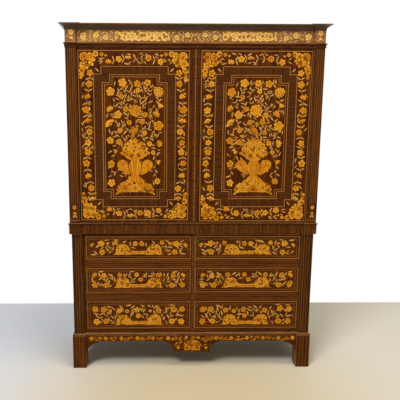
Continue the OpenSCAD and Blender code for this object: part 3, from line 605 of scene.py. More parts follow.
# A round flower has a heart, given as its radius and scorch, and rings of petals round it. A flower that
# is seen from the side fans out from a foot that lies back from its middle. Each ring is given as inner
# and outer radius, number of petals, first angle, droop and sharp, and for a fan also its whole angle.
# All radii are shares of the flower's own.
ROUND = {
    "rose": ((0.18, 0.3), [(0.18, 0.58, 4, 0, 0.1, 3), (0.58, 1.06, 5, 0.4, 0.2, 2.4)]),
    "peony": ((0.16, 0.3), [(0.16, 0.45, 6, 0, 0.06, 3), (0.45, 0.74, 8, 0.3, 0.08, 3),
                            (0.74, 1.04, 10, 0.6, 0.14, 2)]),
    "daisy": ((0.28, 0.5), [(0.28, 1.06, 7, 0, 0.22, 1.8)]),
    "blossom": ((0.22, 0.1), [(0.22, 1.1, 5, 0, 0.3, 1.8)]),
}
SIDE_ON = {
    "tulip": (0.75, [(0.1, 1.75, 3, -0.62, 0.26, 1.2, 1.24), (0.1, 1.4, 1, 0.66, 0.3, 1.4, 0.42),
                     (0.1, 1.4, 1, -1.08, 0.3, 1.4, 0.42)]),
    "carnation": (0.6, [(0, 0.5, 2, -0.5, 0.1, 3, 1), (0.5, 1.5, 6, -1.05, 0.12, 1.5, 2.1)]),
    "bud": (0.8, [(0, 1.85, 3, -0.6, 0.22, 1.5, 1.2)]),
}


def flower(bed, kind, x, z, r, turn=UP, wood=None):
    """One flower. turn is the way it faces, for the kinds that are seen from the side."""
    wood = wood or tones.choice(MIXED)
    bed.take(x, z, r)
    spin = tones.uniform(0, 1)
    if kind in ROUND:
        (heart, scorch), rings = ROUND[kind]
        disc(bed, wood, x, z, heart * r, scorch)
        for inner, outer, count, first, droop, sharp in rings:
            ring(bed, wood, x, z, inner * r, outer * r, count, spin + first, droop, sharp)
        return
    back, rings = SIDE_ON[kind]
    foot = off(x, z, -back * r, turn)
    for inner, outer, count, first, droop, sharp, part in rings:
        calyx = kind == "carnation" and inner == 0
        ring(bed, "maple" if calyx else wood, *foot, inner * r, outer * r, count, turn + first, droop, sharp,
             part)


print("kinds of flower:", [*ROUND, *SIDE_ON])


# %% [markdown]
# ## Fields of small petals
# The urns, the corner clusters and the mounds are packed so closely with petals that hardly any
# ground shows. Points are set on rings round each bloom, and the field is then divided so that every
# place belongs to its nearest point, like the cells of a honeycomb. A cell's edges are the half-way
# lines to its neighbours, so cutting the whole outline along those lines, one neighbour after another,
# leaves exactly that cell, also where it meets the edge of the field.

# %% Cutting an outline, and finding what lies inside it
def cut_along(outline, point, normal):
    """The part of an outline that lies behind a line through point, square to normal."""
    kept = []
    for a, b in edges(outline):
        da = (a[0] - point[0]) * normal[0] + (a[1] - point[1]) * normal[1]
        db = (b[0] - point[0]) * normal[0] + (b[1] - point[1]) * normal[1]
        if da <= 0:
            kept.append(a)
        if (da < 0 < db) or (db < 0 < da):
            t = da / (da - db)
            kept.append((a[0] + (b[0] - a[0]) * t, a[1] + (b[1] - a[1]) * t))
    return kept


def rectangle(x0, x1, z0, z1):
    """Four corners, anticlockwise."""
    return [(x0, z0), (x1, z0), (x1, z1), (x0, z1)]


def inside(outline, x, z):
    """True when x, z lies in an outline."""
    odd = False
    for (ax, az), (bx, bz) in edges(outline):
        if (az > z) != (bz > z) and x < ax + (z - az) / (bz - az) * (bx - ax):
            odd = not odd
    return odd


# %% Clearing, turning and mirroring outlines
NEAREST = 0.25  # points closer than this, in millimetres, are taken as one


def cleared(outline):
    """The outline without the points that all but meet the one before them."""
    return [p for i, p in enumerate(outline) if math.dist(p, outline[i - 1]) > NEAREST]


def both_sides(half, cx):
    """A half outline drawn from the middle line at the bottom round to the top, and its mirror image."""
    return [(cx + x, z) for x, z in half] + [(cx - x, z) for x, z in reversed(half) if x > 0]


def mirrored(outline, cx, side):
    """An outline moved to cx, and turned over when side is -1 without changing the way it runs."""
    return [(cx + side * x, z) for x, z in outline][::side]


def anticlockwise(outline):
    """The outline, turned to run anticlockwise."""
    return outline if area(outline) > 0 else outline[::-1]


# %% Flutes that fan out
CELL = 11  # the width of a petal, in millimetres
LEAST_CELL = 9  # the smallest petal worth sawing, in square millimetres


def slices(bed, outline, hub, count, start, end):
    """Cuts an outline into narrow flutes that fan out from a hub between two angles, scorched at one side."""
    for i in range(count):
        a, b = (start + (end - start) * k / count for k in (i, i + 1))
        piece = outline
        for angle, side in ((a, -1), (b, 1)):
            way = (-side * math.sin(angle), side * math.cos(angle))
            piece = cut_along(piece, (hub[0] - way[0] * 0.5, hub[1] - way[1] * 0.5), way)
        piece = cleared(piece)
        if len(piece) > 2 and abs(area(piece)) > LEAST_CELL:
            turns = [math.atan2(p[1] - hub[1], p[0] - hub[0]) for p in piece]
            turns = [math.remainder(t - (a + b) / 2, math.tau) / (b - a) + 0.5 for t in turns]
            bed.chip("satinwood", piece, [min(0.8, max(0, 0.8 - t)) for t in turns], tones.uniform(0.1, 0.9))


# %% Places for petals round blooms
ON_RINGS, BETWEEN = 0.62, 0.95  # the least room between two places, in petal widths


def petal_places(outline, blooms, size):
    """Places on rings round each bloom, then in what is left of the outline, each with its bloom's place."""
    seeds = []
    clear = lambda place, room: all(math.dist(place, seed[:2]) > room * size for seed in seeds)
    for x, z, r in blooms:
        rings = max(1, round(r / size))
        wanted = [(x, z)]
        for k in range(1, rings + 1):
            count = max(5, round(math.tau * k / 1.25))
            wanted += [(x + a, z + b) for a, b in
                       (polar(k * r / rings, math.tau * (i + 0.5 * (k % 2)) / count) for i in range(count))]
        seeds += [(*place, x, z) for place in wanted if clear(place, ON_RINGS) and inside(outline, *place)]
    xs, zs = zip(*outline)
    for i in range(int((max(xs) - min(xs)) / size) + 1):
        for j in range(int((max(zs) - min(zs)) / size) + 1):
            place = (min(xs) + (i + 0.5 + tones.uniform(-0.25, 0.25)) * size,
                     min(zs) + (j + 0.5 + tones.uniform(-0.25, 0.25)) * size)
            if inside(outline, *place) and clear(place, BETWEEN):
                nearest = min(blooms, key=lambda bloom: math.dist(place, bloom[:2]))
                seeds.append((*place, *nearest[:2]))
    return seeds


# %% A field of petals, one round each place
def field(bed, outline, blooms, woods=MIXED, size=CELL, ragged=False, browned=0.16):
    """Fills an outline with petals grouped round blooms, each given as x, z and radius. A ragged field
    lets the petals at its edge stand out past the outline. browned is the share of dark petals."""
    seeds = petal_places(outline, blooms, size)
    depth = {(x, z): tones.uniform(0.3, 1) for x, z, _ in blooms}
    wood_of = {(x, z): tones.choice(woods) for x, z, _ in blooms}
    for sx, sz, cx, cz in seeds:
        cell = rectangle(sx - size, sx + size, sz - size, sz + size) if ragged else outline
        reach = size * (0.78 if ragged else 0.9)
        for way in (math.tau * (k + 0.5) / 8 for k in range(8)):
            cell = cut_along(cell, off(sx, sz, reach, way), polar(1, way))
        for ox, oz, _, _ in seeds:
            apart = math.dist((ox, oz), (sx, sz))
            if 0 < apart < 3.5 * size and cell:
                normal = ((ox - sx) / apart, (oz - sz) / apart)
                back = apart / 2 - 0.75 * CUT
                cell = cut_along(cell, (sx + normal[0] * back, sz + normal[1] * back), normal)
        cell = cleared(cell)
        if len(cell) < 3 or abs(area(cell)) < LEAST_CELL:
            continue
        far = [math.dist(p, (cx, cz)) for p in cell]
        span = max(max(far) - min(far), 0.1)
        shaded = 1 if tones.random() < browned else 0
        bed.chip(wood_of[cx, cz], cell, [max(shaded, 1 - (d - min(far)) / span) ** 2 for d in far],
                 0.45 * depth[cx, cz] + 0.4 * tones.random())
        bed.take(sx, sz, size * 0.6)


# %% [markdown]
# ## Stringing and crossbanding
# Fine light lines, called stringing, run round each panel, and a band of veneer with its grain laid
# across, called crossbanding, fills the space between two of them. A closed line is moved inward and
# outward by half its width, and the pieces between are cut with mitres, as they are on the real door.

# %% Bands between two closed lines
LINE = 3.2


def offset(loop, d):
    """A closed line with square corners, moved outward by d; it runs anticlockwise."""
    moved = []
    for i, p in enumerate(loop):
        n1, n2 = square_to(loop[i - 1], p), square_to(p, loop[(i + 1) % len(loop)])
        moved.append((p[0] + d * (n1[0] + n2[0]), p[1] + d * (n1[1] + n2[1])))
    return moved


def band(bed, wood, inner, outer):
    """Mitred straight pieces between two closed lines with the same number of corners."""
    for i in range(len(inner)):
        j = (i + 1) % len(inner)
        level = abs(inner[j][0] - inner[i][0]) > abs(inner[j][1] - inner[i][1])
        name = wood if wood in WOODS else wood + ("_upright" if level else "_level")
        bed.chip(name, [inner[i], outer[i], outer[j], inner[j]])


def stringing(bed, loop, width=LINE, wood="boxwood"):
    """A fine light line along a closed line with square corners."""
    band(bed, wood, offset(loop, -width / 2), offset(loop, width / 2))


def stepped(cx, half, z0, z1, step):
    """A rectangle with a square step at each corner, given by its middle and half of its width."""
    x0, x1 = cx - half, cx + half
    return [(x0 + step, z0), (x1 - step, z0), (x1 - step, z0 + step), (x1, z0 + step),
            (x1, z1 - step), (x1 - step, z1 - step), (x1 - step, z1), (x0 + step, z1),
            (x0 + step, z1 - step), (x0, z1 - step), (x0, z0 + step), (x0 + step, z0 + step)]


# %% [markdown]
# ## Stems
# In a marquetry bouquet the stems spring from the urn and divide on their way to the flowers. Taking
# the flowers from the nearest to the furthest, each is joined to the closest point of the stems that
# are there already, and its own stem then serves the flowers beyond it. Leaves sit along the stem by
# turns, and a last pass tucks sprigs of one or two leaves into the places that are still bare.

# %% Leaves and stems where there is room
STEM = 2  # the width of a stem, in millimetres
SLENDER = 0.24  # the width of a leaf, as a share of its length
LEAF, LEAN = 29, 0.75  # its length, and the angle between it and its stem


def leaf_if_free(bed, x, z, length, turn):
    """A leaf that starts at x, z, unless something is in its way."""
    tip, mid = off(x, z, 0.75 * length, turn), off(x, z, 0.45 * length, turn)
    if not (bed.free(*tip, 0.17 * length) and bed.free(*mid, 0.14 * length)):
        return False
    if bed.within and not inside(bed.within, *off(x, z, length, turn)):
        return False
    leaf(bed, x, z, length, length * SLENDER * tones.uniform(0.9, 1.2), turn)
    bed.take(*mid, 0.17 * length)
    bed.take(*tip, 0.15 * length)
    return True


def leafy_stem(bed, path, every):
    """A stem with leaves that lean off it by turns, to its left and to its right."""
    strip(bed, "boxwood", path, STEM)
    run, side = every * 0.6, tones.choice((1, -1))
    for a, b in zip(path, path[1:]):
        step = math.dist(a, b)
        while run < step:
            x, z = a[0] + (b[0] - a[0]) * run / step, a[1] + (b[1] - a[1]) * run / step
            turn = math.atan2(b[1] - a[1], b[0] - a[0]) + side * LEAN * tones.uniform(0.6, 1.5)
            leaf_if_free(bed, x, z, LEAF * tones.uniform(0.75, 1.15), turn)
            side = -side
            run += every
        run -= step
    for x, z in path:
        bed.take(x, z, 3)


# %% A bouquet, and leaves in what is left
BARE_BELOW = 100
STALK = 9  # the stalk of a sprig, in millimetres


def bouquet(bed, root, flowers):
    """Flowers given as kind, x, z and radius, and the stems that join them to the root. The stems that
    hang down far below the root have fewer leaves."""
    for kind, x, z, r in flowers:
        flower(bed, kind, x, z, r, math.atan2(z - root[1] + 60, x - root[0]))
    grown = [root]
    for kind, x, z, r in sorted(flowers, key=lambda f: math.dist(f[1:3], root)):
        start = min(grown, key=lambda p: math.dist((x, z), p) + 0.35 * math.dist(p, root)
                    + (40 if p[1] > z + 15 else 0))
        whole = bow(start, (x, z), tones.uniform(-0.16, 0.16))
        path = [p for p in whole if math.dist(p, (x, z)) > 0.9 * r]
        if len(path) > 1:
            leafy_stem(bed, path, every=25 if z < root[1] - BARE_BELOW else 12)
            grown += path[2:]


def fill_with_leaves(bed, outline, tries, length=28, flow=0.0):
    """Sprigs of one or two leaves in the places of an outline that are still bare. flow is a place that
    they grow away from, or an angle that they lie along."""
    bed.within = outline
    xs, zs = zip(*outline)
    for _ in range(tries):
        x, z = tones.uniform(min(xs), max(xs)), tones.uniform(min(zs), max(zs))
        if isinstance(flow, tuple):
            turn = math.atan2(z - flow[1], x - flow[0]) + tones.uniform(-0.5, 0.5)
        else:
            turn = flow + tones.choice((0, math.pi)) + tones.uniform(-0.3, 0.3)
        spread = tones.choice((1, -1)) * tones.uniform(0.3, 0.9)
        if inside(outline, x, z) and bed.free(x, z, 5):
            if leaf_if_free(bed, x, z, length * tones.uniform(0.8, 1.15), turn + spread):
                if tones.random() < 0.5:
                    leaf_if_free(bed, x, z, length * tones.uniform(0.6, 0.95),
                                 turn - spread * tones.uniform(0.7, 1.3))
                end = off(x, z, STALK, turn + math.pi)
                if bed.free(*end, 1) and inside(outline, *end):
                    strip(bed, "boxwood", [(x, z), end], STEM * 0.8)
    bed.within = None


# %% [markdown]
# ## The upper leaves
# Both upper leaves have the same picture, because the maker stacked the veneers and sawed them
# together. Only the bird looks the other way on the right leaf. All places are given from the middle
# line of the leaf, and heights are above the floor.

# %% Where the flowers of an upper leaf are
BOUQUET = [
    ("rose", -69, 1757, 24), ("rose", 13, 1756, 19), ("blossom", 76, 1757, 20), ("rose", -141, 1709, 24),
    ("blossom", 20, 1714, 15), ("peony", 139, 1708, 29), ("daisy", -78, 1680, 14), ("tulip", -146, 1611, 21),
    ("rose", -99, 1579, 22), ("blossom", -53, 1610, 15), ("peony", 3, 1600, 35), ("daisy", 62, 1579, 15),
    ("tulip", 125, 1579, 22), ("bud", 148, 1625, 18), ("carnation", -142, 1527, 26), ("daisy", -32, 1534, 15),
    ("blossom", 43, 1537, 17), ("rose", 139, 1512, 27), ("daisy", -90, 1484, 14), ("blossom", 59, 1474, 14),
    ("rose", -144, 1429, 20), ("blossom", -92, 1418, 17), ("daisy", 87, 1411, 15), ("tulip", 139, 1411, 22),
    ("bud", -109, 1364, 14), ("daisy", 108, 1359, 13), ("blossom", -141, 1289, 20), ("bud", 136, 1302, 18),
    ("blossom", -141, 1177, 21), ("daisy", 132, 1187, 18),
]
SIDE_FLOWERS = [(260, 1752), (258, 1815), (276, 1678), (284, 1605), (276, 1537), (265, 1478), (276, 1414),
                (276, 1360), (288, 1294), (276, 1217), (260, 1144), (256, 1076)]
TOP_FLOWERS = [(-149, 1877), (-90, 1893), (-36, 1896), (80, 1897), (149, 1877)]
FOOT_FLOWERS = [(-155, 1014), (-97, 993), (-29, 973), (29, 994), (78, 994), (143, 1008)]
KINDS = ["rose", "blossom", "tulip", "rose", "carnation", "daisy", "blossom"]
print("flowers on an upper leaf, beside the corners:",
      len(BOUQUET) + 2 * len(SIDE_FLOWERS) + len(TOP_FLOWERS) + len(FOOT_FLOWERS))

# %% [markdown]
# ## The urn and the bird
# The urn is alike on both sides of its middle line, so half of each outline is drawn and then mirrored.
# Its bowl and stem are cut in flutes that fan out, and so are the scroll handles. The heap of flowers
# and the broad foot are fields of petals. The bird follows no rule, so its five pieces are drawn
# with few points, and then rounded.

# %% The urn, drawn as half outlines from its middle line, and one corner of the border
URN_FLOWERS = [(0, 1309), (24, 1309), (42, 1320), (62, 1336), (88, 1351), (86, 1358), (72, 1366), (78, 1380),
               (70, 1390), (62, 1392), (62, 1408), (48, 1416), (40, 1420), (30, 1434), (12, 1434), (0, 1444)]
URN_BOWL = [(0, 1222), (20, 1222), (26, 1234), (34, 1248), (38, 1266), (37, 1284), (31, 1297), (24, 1308),
            (0, 1308)]
URN_HANDLE = [(30, 1225), (40, 1225), (52, 1229), (64, 1237), (77, 1245), (90, 1254), (100, 1266), (105, 1279),
              (105, 1292), (99, 1304), (89, 1312), (76, 1315), (63, 1313), (52, 1306), (44, 1295), (41, 1281),
              (41, 1266), (38, 1250), (32, 1237)]
URN_STEM = [(0, 1182), (66, 1182), (54, 1192), (40, 1203), (29, 1213), (21, 1221), (0, 1221)]
URN_BASE = [(0, 1122), (60, 1120), (86, 1122), (108, 1126), (114, 1138), (103, 1148), (104, 1160), (90, 1170),
            (78, 1181), (0, 1181)]
URN_PAW = [(74, 1119), (92, 1118), (103, 1108), (116, 1104), (121, 1108), (113, 1114), (106, 1123), (92, 1124)]
CORNER = [(12, 2), (94, 2), (108, 11), (96, 22), (84, 30), (88, 46), (78, 64), (64, 77), (48, 87), (30, 92),
          (22, 110), (17, 128), (11, 145), (2, 160), (2, 12), (5, 5)]
CORNER_BLOOMS = [(26, 26, 18), (62, 24, 15), (24, 64, 15), (58, 58, 16), (92, 10, 8), (11, 104, 9), (8, 132, 8)]


def urn(bed, cx):
    """The urn with its heap of flowers, scroll handles and paw feet."""
    at = lambda places: [(cx + x, z, r) for x, z, r in places]
    field(bed, both_sides(URN_FLOWERS, cx),
          at([(0, 1388, 30), (-48, 1396, 18), (48, 1396, 18), (-60, 1356, 18), (60, 1356, 18), (-20, 1338, 16),
              (22, 1340, 16), (10, 1426, 12)]), browned=0.1)
    slices(bed, both_sides(URN_BOWL, cx), (cx, 1140), 9, UP - 0.5, UP + 0.5)
    slices(bed, both_sides(URN_STEM, cx), (cx, 1260), 7, DOWN - 0.9, DOWN + 0.9)
    field(bed, both_sides(URN_BASE, cx), at([(0, 1143, 18), (-62, 1146, 20), (62, 1146, 20), (-98, 1140, 12),
                                             (98, 1140, 12), (-34, 1168, 12), (34, 1168, 12)]), browned=0.06)
    for side in (1, -1):
        slices(bed, mirrored(URN_HANDLE, cx, side), (cx + side * 74, 1283), 11, 0.1, math.tau + 0.1)
        field(bed, mirrored(URN_PAW, cx, side), at([(side * 100, 1114, 10)]))


# %% The bird that sits on the heap, laid at a share of its drawn size
def rounded(outline):
    """The outline with each corner cut off between its neighbours, which makes a drawn curve smooth."""
    return [(a[0] * s + b[0] * (1 - s), a[1] * s + b[1] * (1 - s))
            for a, b in edges(outline) for s in (0.75, 0.25)]


BIRD = 0.86


def bird(bed, x, z, side):
    """A bird perched on the heap; side is 1 when it looks to its right as seen."""
    place = lambda a, b: (x + side * BIRD * a, z + BIRD * b)
    parts = [
        ("satinwood", [(1, 4), (4, 11), (10, 14), (17, 13), (22, 8), (22, 2), (18, -4), (10, -6), (4, -3)]),
        ("maple", [(20, 8), (24, 6), (33, 1), (24, 2), (20, 1)]),
        ("satinwood", [(3, -4), (10, -7), (18, -4), (22, -14), (21, -26), (14, -40), (4, -51), (-5, -54),
                       (-9, -45), (-8, -28), (-3, -12)]),
        ("golden_satinwood", [(0, -6), (-5, -14), (-9, -28), (-11, -46), (-20, -64), (-27, -66), (-26, -44),
                              (-19, -24), (-9, -9)]),
        ("satinwood", [(-11, -48), (-3, -53), (-10, -66), (-20, -84), (-35, -100), (-39, -94), (-28, -70)]),
    ]
    for wood, outline in parts:
        drawn = rounded([place(a, b) for a, b in outline])
        bed.chip(wood, drawn, [0.8 * math.sin(math.pi * i / len(drawn)) for i in range(len(drawn))], 0.9)
    disc(bed, "sycamore", *place(14, 6), 1.5)
    for a, b, r in [(15, 5, 15), (5, -25, 17), (-12, -52, 16), (-28, -88, 15)]:
        bed.take(*place(a, b), BIRD * r)


# %% [markdown]
# ## The border and the panel
# A cluster of petals fills each corner of the border, and single flowers stand between the corners. From
# one flower to the next the maker set a short stalk with one or two pairs of leaves. How many pairs fit
# is worked out from the room there, so only the flowers' places are listed.

# %% Leaves between the flowers of the border
# Each line is given as half its width, its foot, its head and the step at its corners.
OUTER_LINE, INNER_LINE = (237, 1032, 1851, 43), (188, 1081, 1804, 44)
FINE_LINE, GROUND = (175, 1093, 1792, 44), (172, 1096, 1789, 44)


def caret(bed, x, z, way, room):
    """One or two pairs of leaves that spread from a short stalk, with a given room along their way."""
    steps = (-0.25 * room, 0.25 * room) if room > 44 else (0,)
    if room > 16:
        strip(bed, "boxwood", [off(x, z, -room / 2, way), off(x, z, room / 2, way)], STEM)
    for step in steps:
        sign = tones.choice((1, -1))
        for side in (1, -1):
            leaf_if_free(bed, *off(x, z, step + 4 * sign, way), LEAF, way + side * (math.pi / 2 + sign * 0.5))
    for share in (-0.4, -0.2, 0, 0.2, 0.4):
        bed.take(*off(x, z, share * room, way), 4)


def middle_of(a, b):
    """The point half-way between two points."""
    return (a[0] + b[0]) / 2, (a[1] + b[1]) / 2


def border_leaves(bed, cx, frame_rect):
    """Carets of leaves between the flowers of the border, and single sprigs where there is room."""
    x0, x1, z0, z1 = frame_rect
    half, foot, head, _ = OUTER_LINE
    bed.within = rectangle(x0 + 4, x1 - 4, z0 + 4, z1 - 4)
    for sx in (-1, 1):
        chain = sorted(SIDE_FLOWERS, key=lambda p: p[1])
        for (xa, za), (xb, zb) in zip(chain, chain[1:]):
            a, b = (cx + sx * xa, za + 20), (cx + sx * xb, zb - 20)
            caret(bed, *middle_of(a, b), UP, b[1] - a[1])
    for row in (TOP_FLOWERS, FOOT_FLOWERS):
        for (xa, za), (xb, zb) in zip(row, row[1:]):
            a, b = (cx + xa + 19, za), (cx + xb - 19, zb)
            caret(bed, *middle_of(a, b), 0, b[0] - a[0])
    for side in (-1, 1):
        for z, way in ((head - 10, 1), (foot + 10, -1)):
            leaf_if_free(bed, cx + side * 226, z, 30, math.atan2(-way, -side))
    for way, lane in ((UP, rectangle(x0 + 10, cx - half - 9, z0 + 80, z1 - 80)),
                      (UP, rectangle(cx + half + 9, x1 - 10, z0 + 80, z1 - 80)),
                      (0, rectangle(x0 + 80, x1 - 80, z0 + 10, foot - 10)),
                      (0, rectangle(x0 + 80, x1 - 80, head + 10, z1 - 10))):
        fill_with_leaves(bed, lane, tries=200, length=27, flow=way)


# %% The panel of an upper leaf, with its lines, urn, bird and bouquet
HEAP_TOP, BIRD_AT = 1441, 1508


def nudge():
    """A small step aside, as when a flower is laid by hand."""
    return tones.uniform(-2, 2)


def panel_picture(bed, cx, looks):
    """All that lies within the crossband; looks is the side that the bird turns to."""
    outer, inner = stepped(cx, *OUTER_LINE), stepped(cx, *INNER_LINE)
    stringing(bed, outer)
    stringing(bed, inner)
    stringing(bed, stepped(cx, *FINE_LINE), LINE * 0.8)
    band(bed, "crossband", offset(inner, LINE / 2 + 0.2), offset(outer, -LINE / 2 - 0.2))
    urn(bed, cx)
    bird(bed, cx + looks * 2, BIRD_AT, looks)
    bed.within = stepped(cx, *GROUND)
    bouquet(bed, (cx, HEAP_TOP), [(kind, cx + x + nudge(), z + nudge(), r) for kind, x, z, r in BOUQUET])
    crown = [(cx - 166, 1335), (cx + 166, 1335), (cx + 166, 1740), (cx + 122, 1740), (cx + 122, 1784),
             (cx - 122, 1784), (cx - 122, 1740), (cx - 166, 1740)]
    fill_with_leaves(bed, crown, tries=900, flow=(cx, 1350))
    fill_with_leaves(bed, rectangle(cx - 166, cx + 166, 1160, 1335), tries=34, flow=(cx, 1250))


# %% The border, with its corner clusters and flowers
INLET = 9  # from the line round the leaf to a corner cluster, in millimetres


def border_flowers(bed, cx, frame_rect):
    """A cluster in each corner, and a row of flowers along each edge."""
    left, right, low, high = frame_rect
    for sx, edge in ((-1, left + INLET), (1, right - INLET)):
        for sz, z0 in ((1, low + INLET), (-1, high - INLET)):
            spot = lambda a, b: (edge - sx * a, z0 + sz * b)
            field(bed, anticlockwise([spot(a, b) for a, b in CORNER]),
                  [(*spot(a, b), r) for a, b, r in CORNER_BLOOMS], ragged=True)
            flower(bed, "daisy", *spot(126, 12), 11)
            flower(bed, "bud", *spot(150, 22), 9, UP)
        places = [(cx + sx * x + nudge(), z + nudge()) for x, z in SIDE_FLOWERS]
        for i, (x, z) in enumerate(places):
            flower(bed, KINDS[i % len(KINDS)], x, z, tones.uniform(17, 21),
                   UP + tones.uniform(-0.5, 0.5))
    for row in (TOP_FLOWERS, FOOT_FLOWERS):
        for i, (x, z) in enumerate(row):
            flower(bed, KINDS[(i + 2) % len(KINDS)], cx + x + nudge(), z + nudge(), tones.uniform(16, 20))


# %% Both upper leaves
for hand, cx, frame_rect, looks in (("left", -350, (-674, -35, 952, 1939), 1),
                                    ("right", 357, (38, 675, 945, 1939), -1)):
    door = front_bed(f"upper_{hand}", f"upper_{hand}_leaf", f"upper_{hand}_door_panel")
    stringing(door, rectangle(*frame_rect))
    panel_picture(door, cx, looks)
    border_flowers(door, cx, frame_rect)
    border_leaves(door, cx, frame_rect)
    door.lay()


# %% [markdown]
# ## The lower leaves
# Each lower leaf is dressed as three drawer fronts. A front has two lines round it and a mirrored
# picture inside: two domed mounds of flowers joined by a low garland, and a spray on each side.
# The rails between the fronts have their grain running along, with thin lines in a browner wood.

# %% Where the flowers of the drawer fronts are, and half a mound
GOLDEN = ("golden_satinwood",)
MOUND = [(56, 0), (53, 6), (44, 9), (42, 34), (37, 51), (26, 62), (8, 67), (-14, 65), (-28, 57), (-39, 44),
         (-45, 32), (-51, 24), (-51, 0)]
MOUND_BLOOMS = [(2, 34, 21), (28, 18, 11), (-26, 15, 13), (24, 49, 9), (-20, 54, 9), (48, 5, 6)]
GARLAND_PETAL = [(0, -2.2), (3, -3), (7, -3.1), (12, -2.6), (15, 0), (12, 2.6), (7, 3.1), (3, 3), (0, 2.2)]
ROWS = [
    dict(z=(706, 844), foot=732,
         side=[("tulip", 282, 792, 13), ("rose", 231, 802, 17), ("bud", 186, 800, 11), ("daisy", 141, 806, 12),
               ("blossom", 222, 748, 15)],
         middle=[("blossom", -20, 801, 14), ("rose", 20, 801, 14)]),
    dict(z=(492, 644), foot=520,
         side=[("tulip", 273, 598, 15), ("rose", 216, 598, 15), ("daisy", 120, 602, 13), ("rose", 270, 537, 16),
               ("blossom", 204, 535, 15)],
         middle=[("blossom", -13, 604, 13), ("daisy", 12, 574, 13)]),
    dict(z=(257, 428), foot=278,
         side=[("rose", 271, 378, 17), ("blossom", 220, 380, 17), ("blossom", 124, 372, 15),
               ("rose", 268, 300, 17), ("daisy", 206, 299, 16)],
         middle=[("daisy", -73, 366, 12), ("rose", -12, 375, 15), ("blossom", -5, 336, 14),
                 ("bud", 70, 364, 11)]),
]
print("flowers on the drawer fronts of a leaf:", [2 * len(row["side"]) + len(row["middle"]) for row in ROWS])

# %% The picture of a drawer front
MOUND_OFF = 97


def drawer_picture(bed, cx, x0, x1, row):
    """One drawer front: two lines, two mounds, a garland and the sprays."""
    z0, z1 = row["z"]
    foot = row["foot"]
    stringing(bed, rectangle(x0, x1, z0, z1), LINE * 0.9)
    stringing(bed, rectangle(x0 + 16, x1 - 16, z0 + 15, z1 - 15), LINE * 0.7, "tulipwood")
    for side in (-1, 1):
        field(bed, mirrored(placed(MOUND, MOUND_OFF, foot), cx, side),
              [(cx + side * (MOUND_OFF + x), foot + z, r) for x, z, r in MOUND_BLOOMS], GOLDEN, browned=0.24)
        for first, z, lean in ((44.5, foot + 1.5, 0.7), (36, foot + 13, -0.7)):
            for x in (first - 8.6 * i for i in range(5)):
                shape = placed(GARLAND_PETAL, cx + side * x, z, UP + side * lean)
                bed.chip(tones.choice(GOLDEN), shape, [1, 0.7, 0.3, 0, 0, 0, 0.3, 0.7, 1])
        bed.take(cx + side * 22, foot + 12, 22)
    bed.within = rectangle(x0 + 20, x1 - 20, foot - 2, z1 - 18)
    for side in (-1, 1):
        spray = [(kind, cx + side * x + tones.uniform(-3, 3), z + nudge(), 1.12 * r)
                 for kind, x, z, r in row["side"]]
        bouquet(bed, (cx + side * 160, foot + 22), spray)
    for kind, x, z, r in row["middle"]:
        flower(bed, kind, cx + x, z, 1.1 * r)
    for side in (-1, 1):
        a, b = sorted((cx + side * 4, x1 - 22 if side > 0 else x0 + 22))
        fill_with_leaves(bed, rectangle(a, b, foot - 2, z1 - 18), tries=400, length=33,
                         flow=(cx + side * MOUND_OFF, foot + 5))


# %% Both lower leaves, with lines along the rails between their fronts
KEYHOLES = {"upper": [(42, 1456)], "lower": [(32, 812), (32, 391)]}


def lower_picture(bed, cx, x0, x1, keyholes=()):
    """Three drawer fronts and the lines between them; nothing is laid round a keyhole."""
    for x, z in keyholes:
        bed.take(x, z, 22)
    for row in ROWS:
        drawer_picture(bed, cx, x0, x1, row)
    upward = ROWS[::-1]
    for below, above in zip(upward, upward[1:]):
        low, high = below["z"][1], above["z"][0]
        for share in (0.2, 0.4, 0.62, 0.82):
            z = low + (high - low) * share
            strip(bed, "tulipwood", [(x0 - 8, z), (x1 + 6, z)], 1.6)


lower_left = front_bed("lower_left", "lower_left_leaf", "lower_left_door")
lower_picture(lower_left, -332, -652, -14)
lower_left.lay()
lower_right = front_bed("lower_right", "lower_right_leaf", "lower_right_door")
lower_picture(lower_right, 337, 18, 658, KEYHOLES["lower"])
strip(lower_right, "tulipwood", [(12, 236), (12, 856)], 2.6)
strip(lower_right, "boxwood", [(14, 857), (662, 857)], 2.6)
lower_right.lay()


# %% [markdown]
# ## The case
# The frieze has two long garlands, the blocks at its ends a single flower, and the apron a row of small
# flowers and leaves with a basket in its pendant. Upright lines make the pilasters and the feet look
# slim, and a small flower stands at the foot of each upper one. The sides are plain but for a crossband
# between two lines. Slanting chips of two tones down the astragal look like a twisted cord.

# %% Frieze and end blocks
FRIEZE_FLOWERS = [("blossom", 50, 2026, 12), ("daisy", 110, 2012, 12), ("daisy", 517, 2010, 12),
                  ("blossom", 572, 2024, 14), ("rose", 645, 2018, 16)]
FRIEZE_MIDDLE = 4
# The frieze and its end blocks take the paler woods, painted light against the cornice's shadow.
frieze = front_bed("frieze", "cabinet", "frieze_board")
frieze.leaf_wood = "pale_maple"
for side in (-1, 1):
    at = lambda x: FRIEZE_MIDDLE + side * x
    spots = [(at(x + tones.uniform(-8, 8)), 2018 + tones.uniform(-14, 14), tones.uniform(8, 14))
             for x in range(165, 460, 21)]
    top = [(x, 2041 + 4 * math.sin(x / 7)) for x in range(464, 146, -12)]
    low = [(x, 1994 + 4 * math.sin(x / 6)) for x in range(152, 468, 12)]
    outline = anticlockwise([(at(x), z) for x, z in low + top])
    field(frieze, outline, spots, ("sycamore",), browned=0.12)
    for kind, x, z, r in FRIEZE_FLOWERS:
        flower(frieze, kind, at(x), z, r * 1.15, wood="sycamore")
fill_with_leaves(frieze, rectangle(-674, 678, 1987, 2049), tries=2600, length=26)
frieze.lay()
blocks = front_bed("frieze_blocks", "cabinet", "frieze_blocks")
blocks.leaf_wood = "pale_maple"
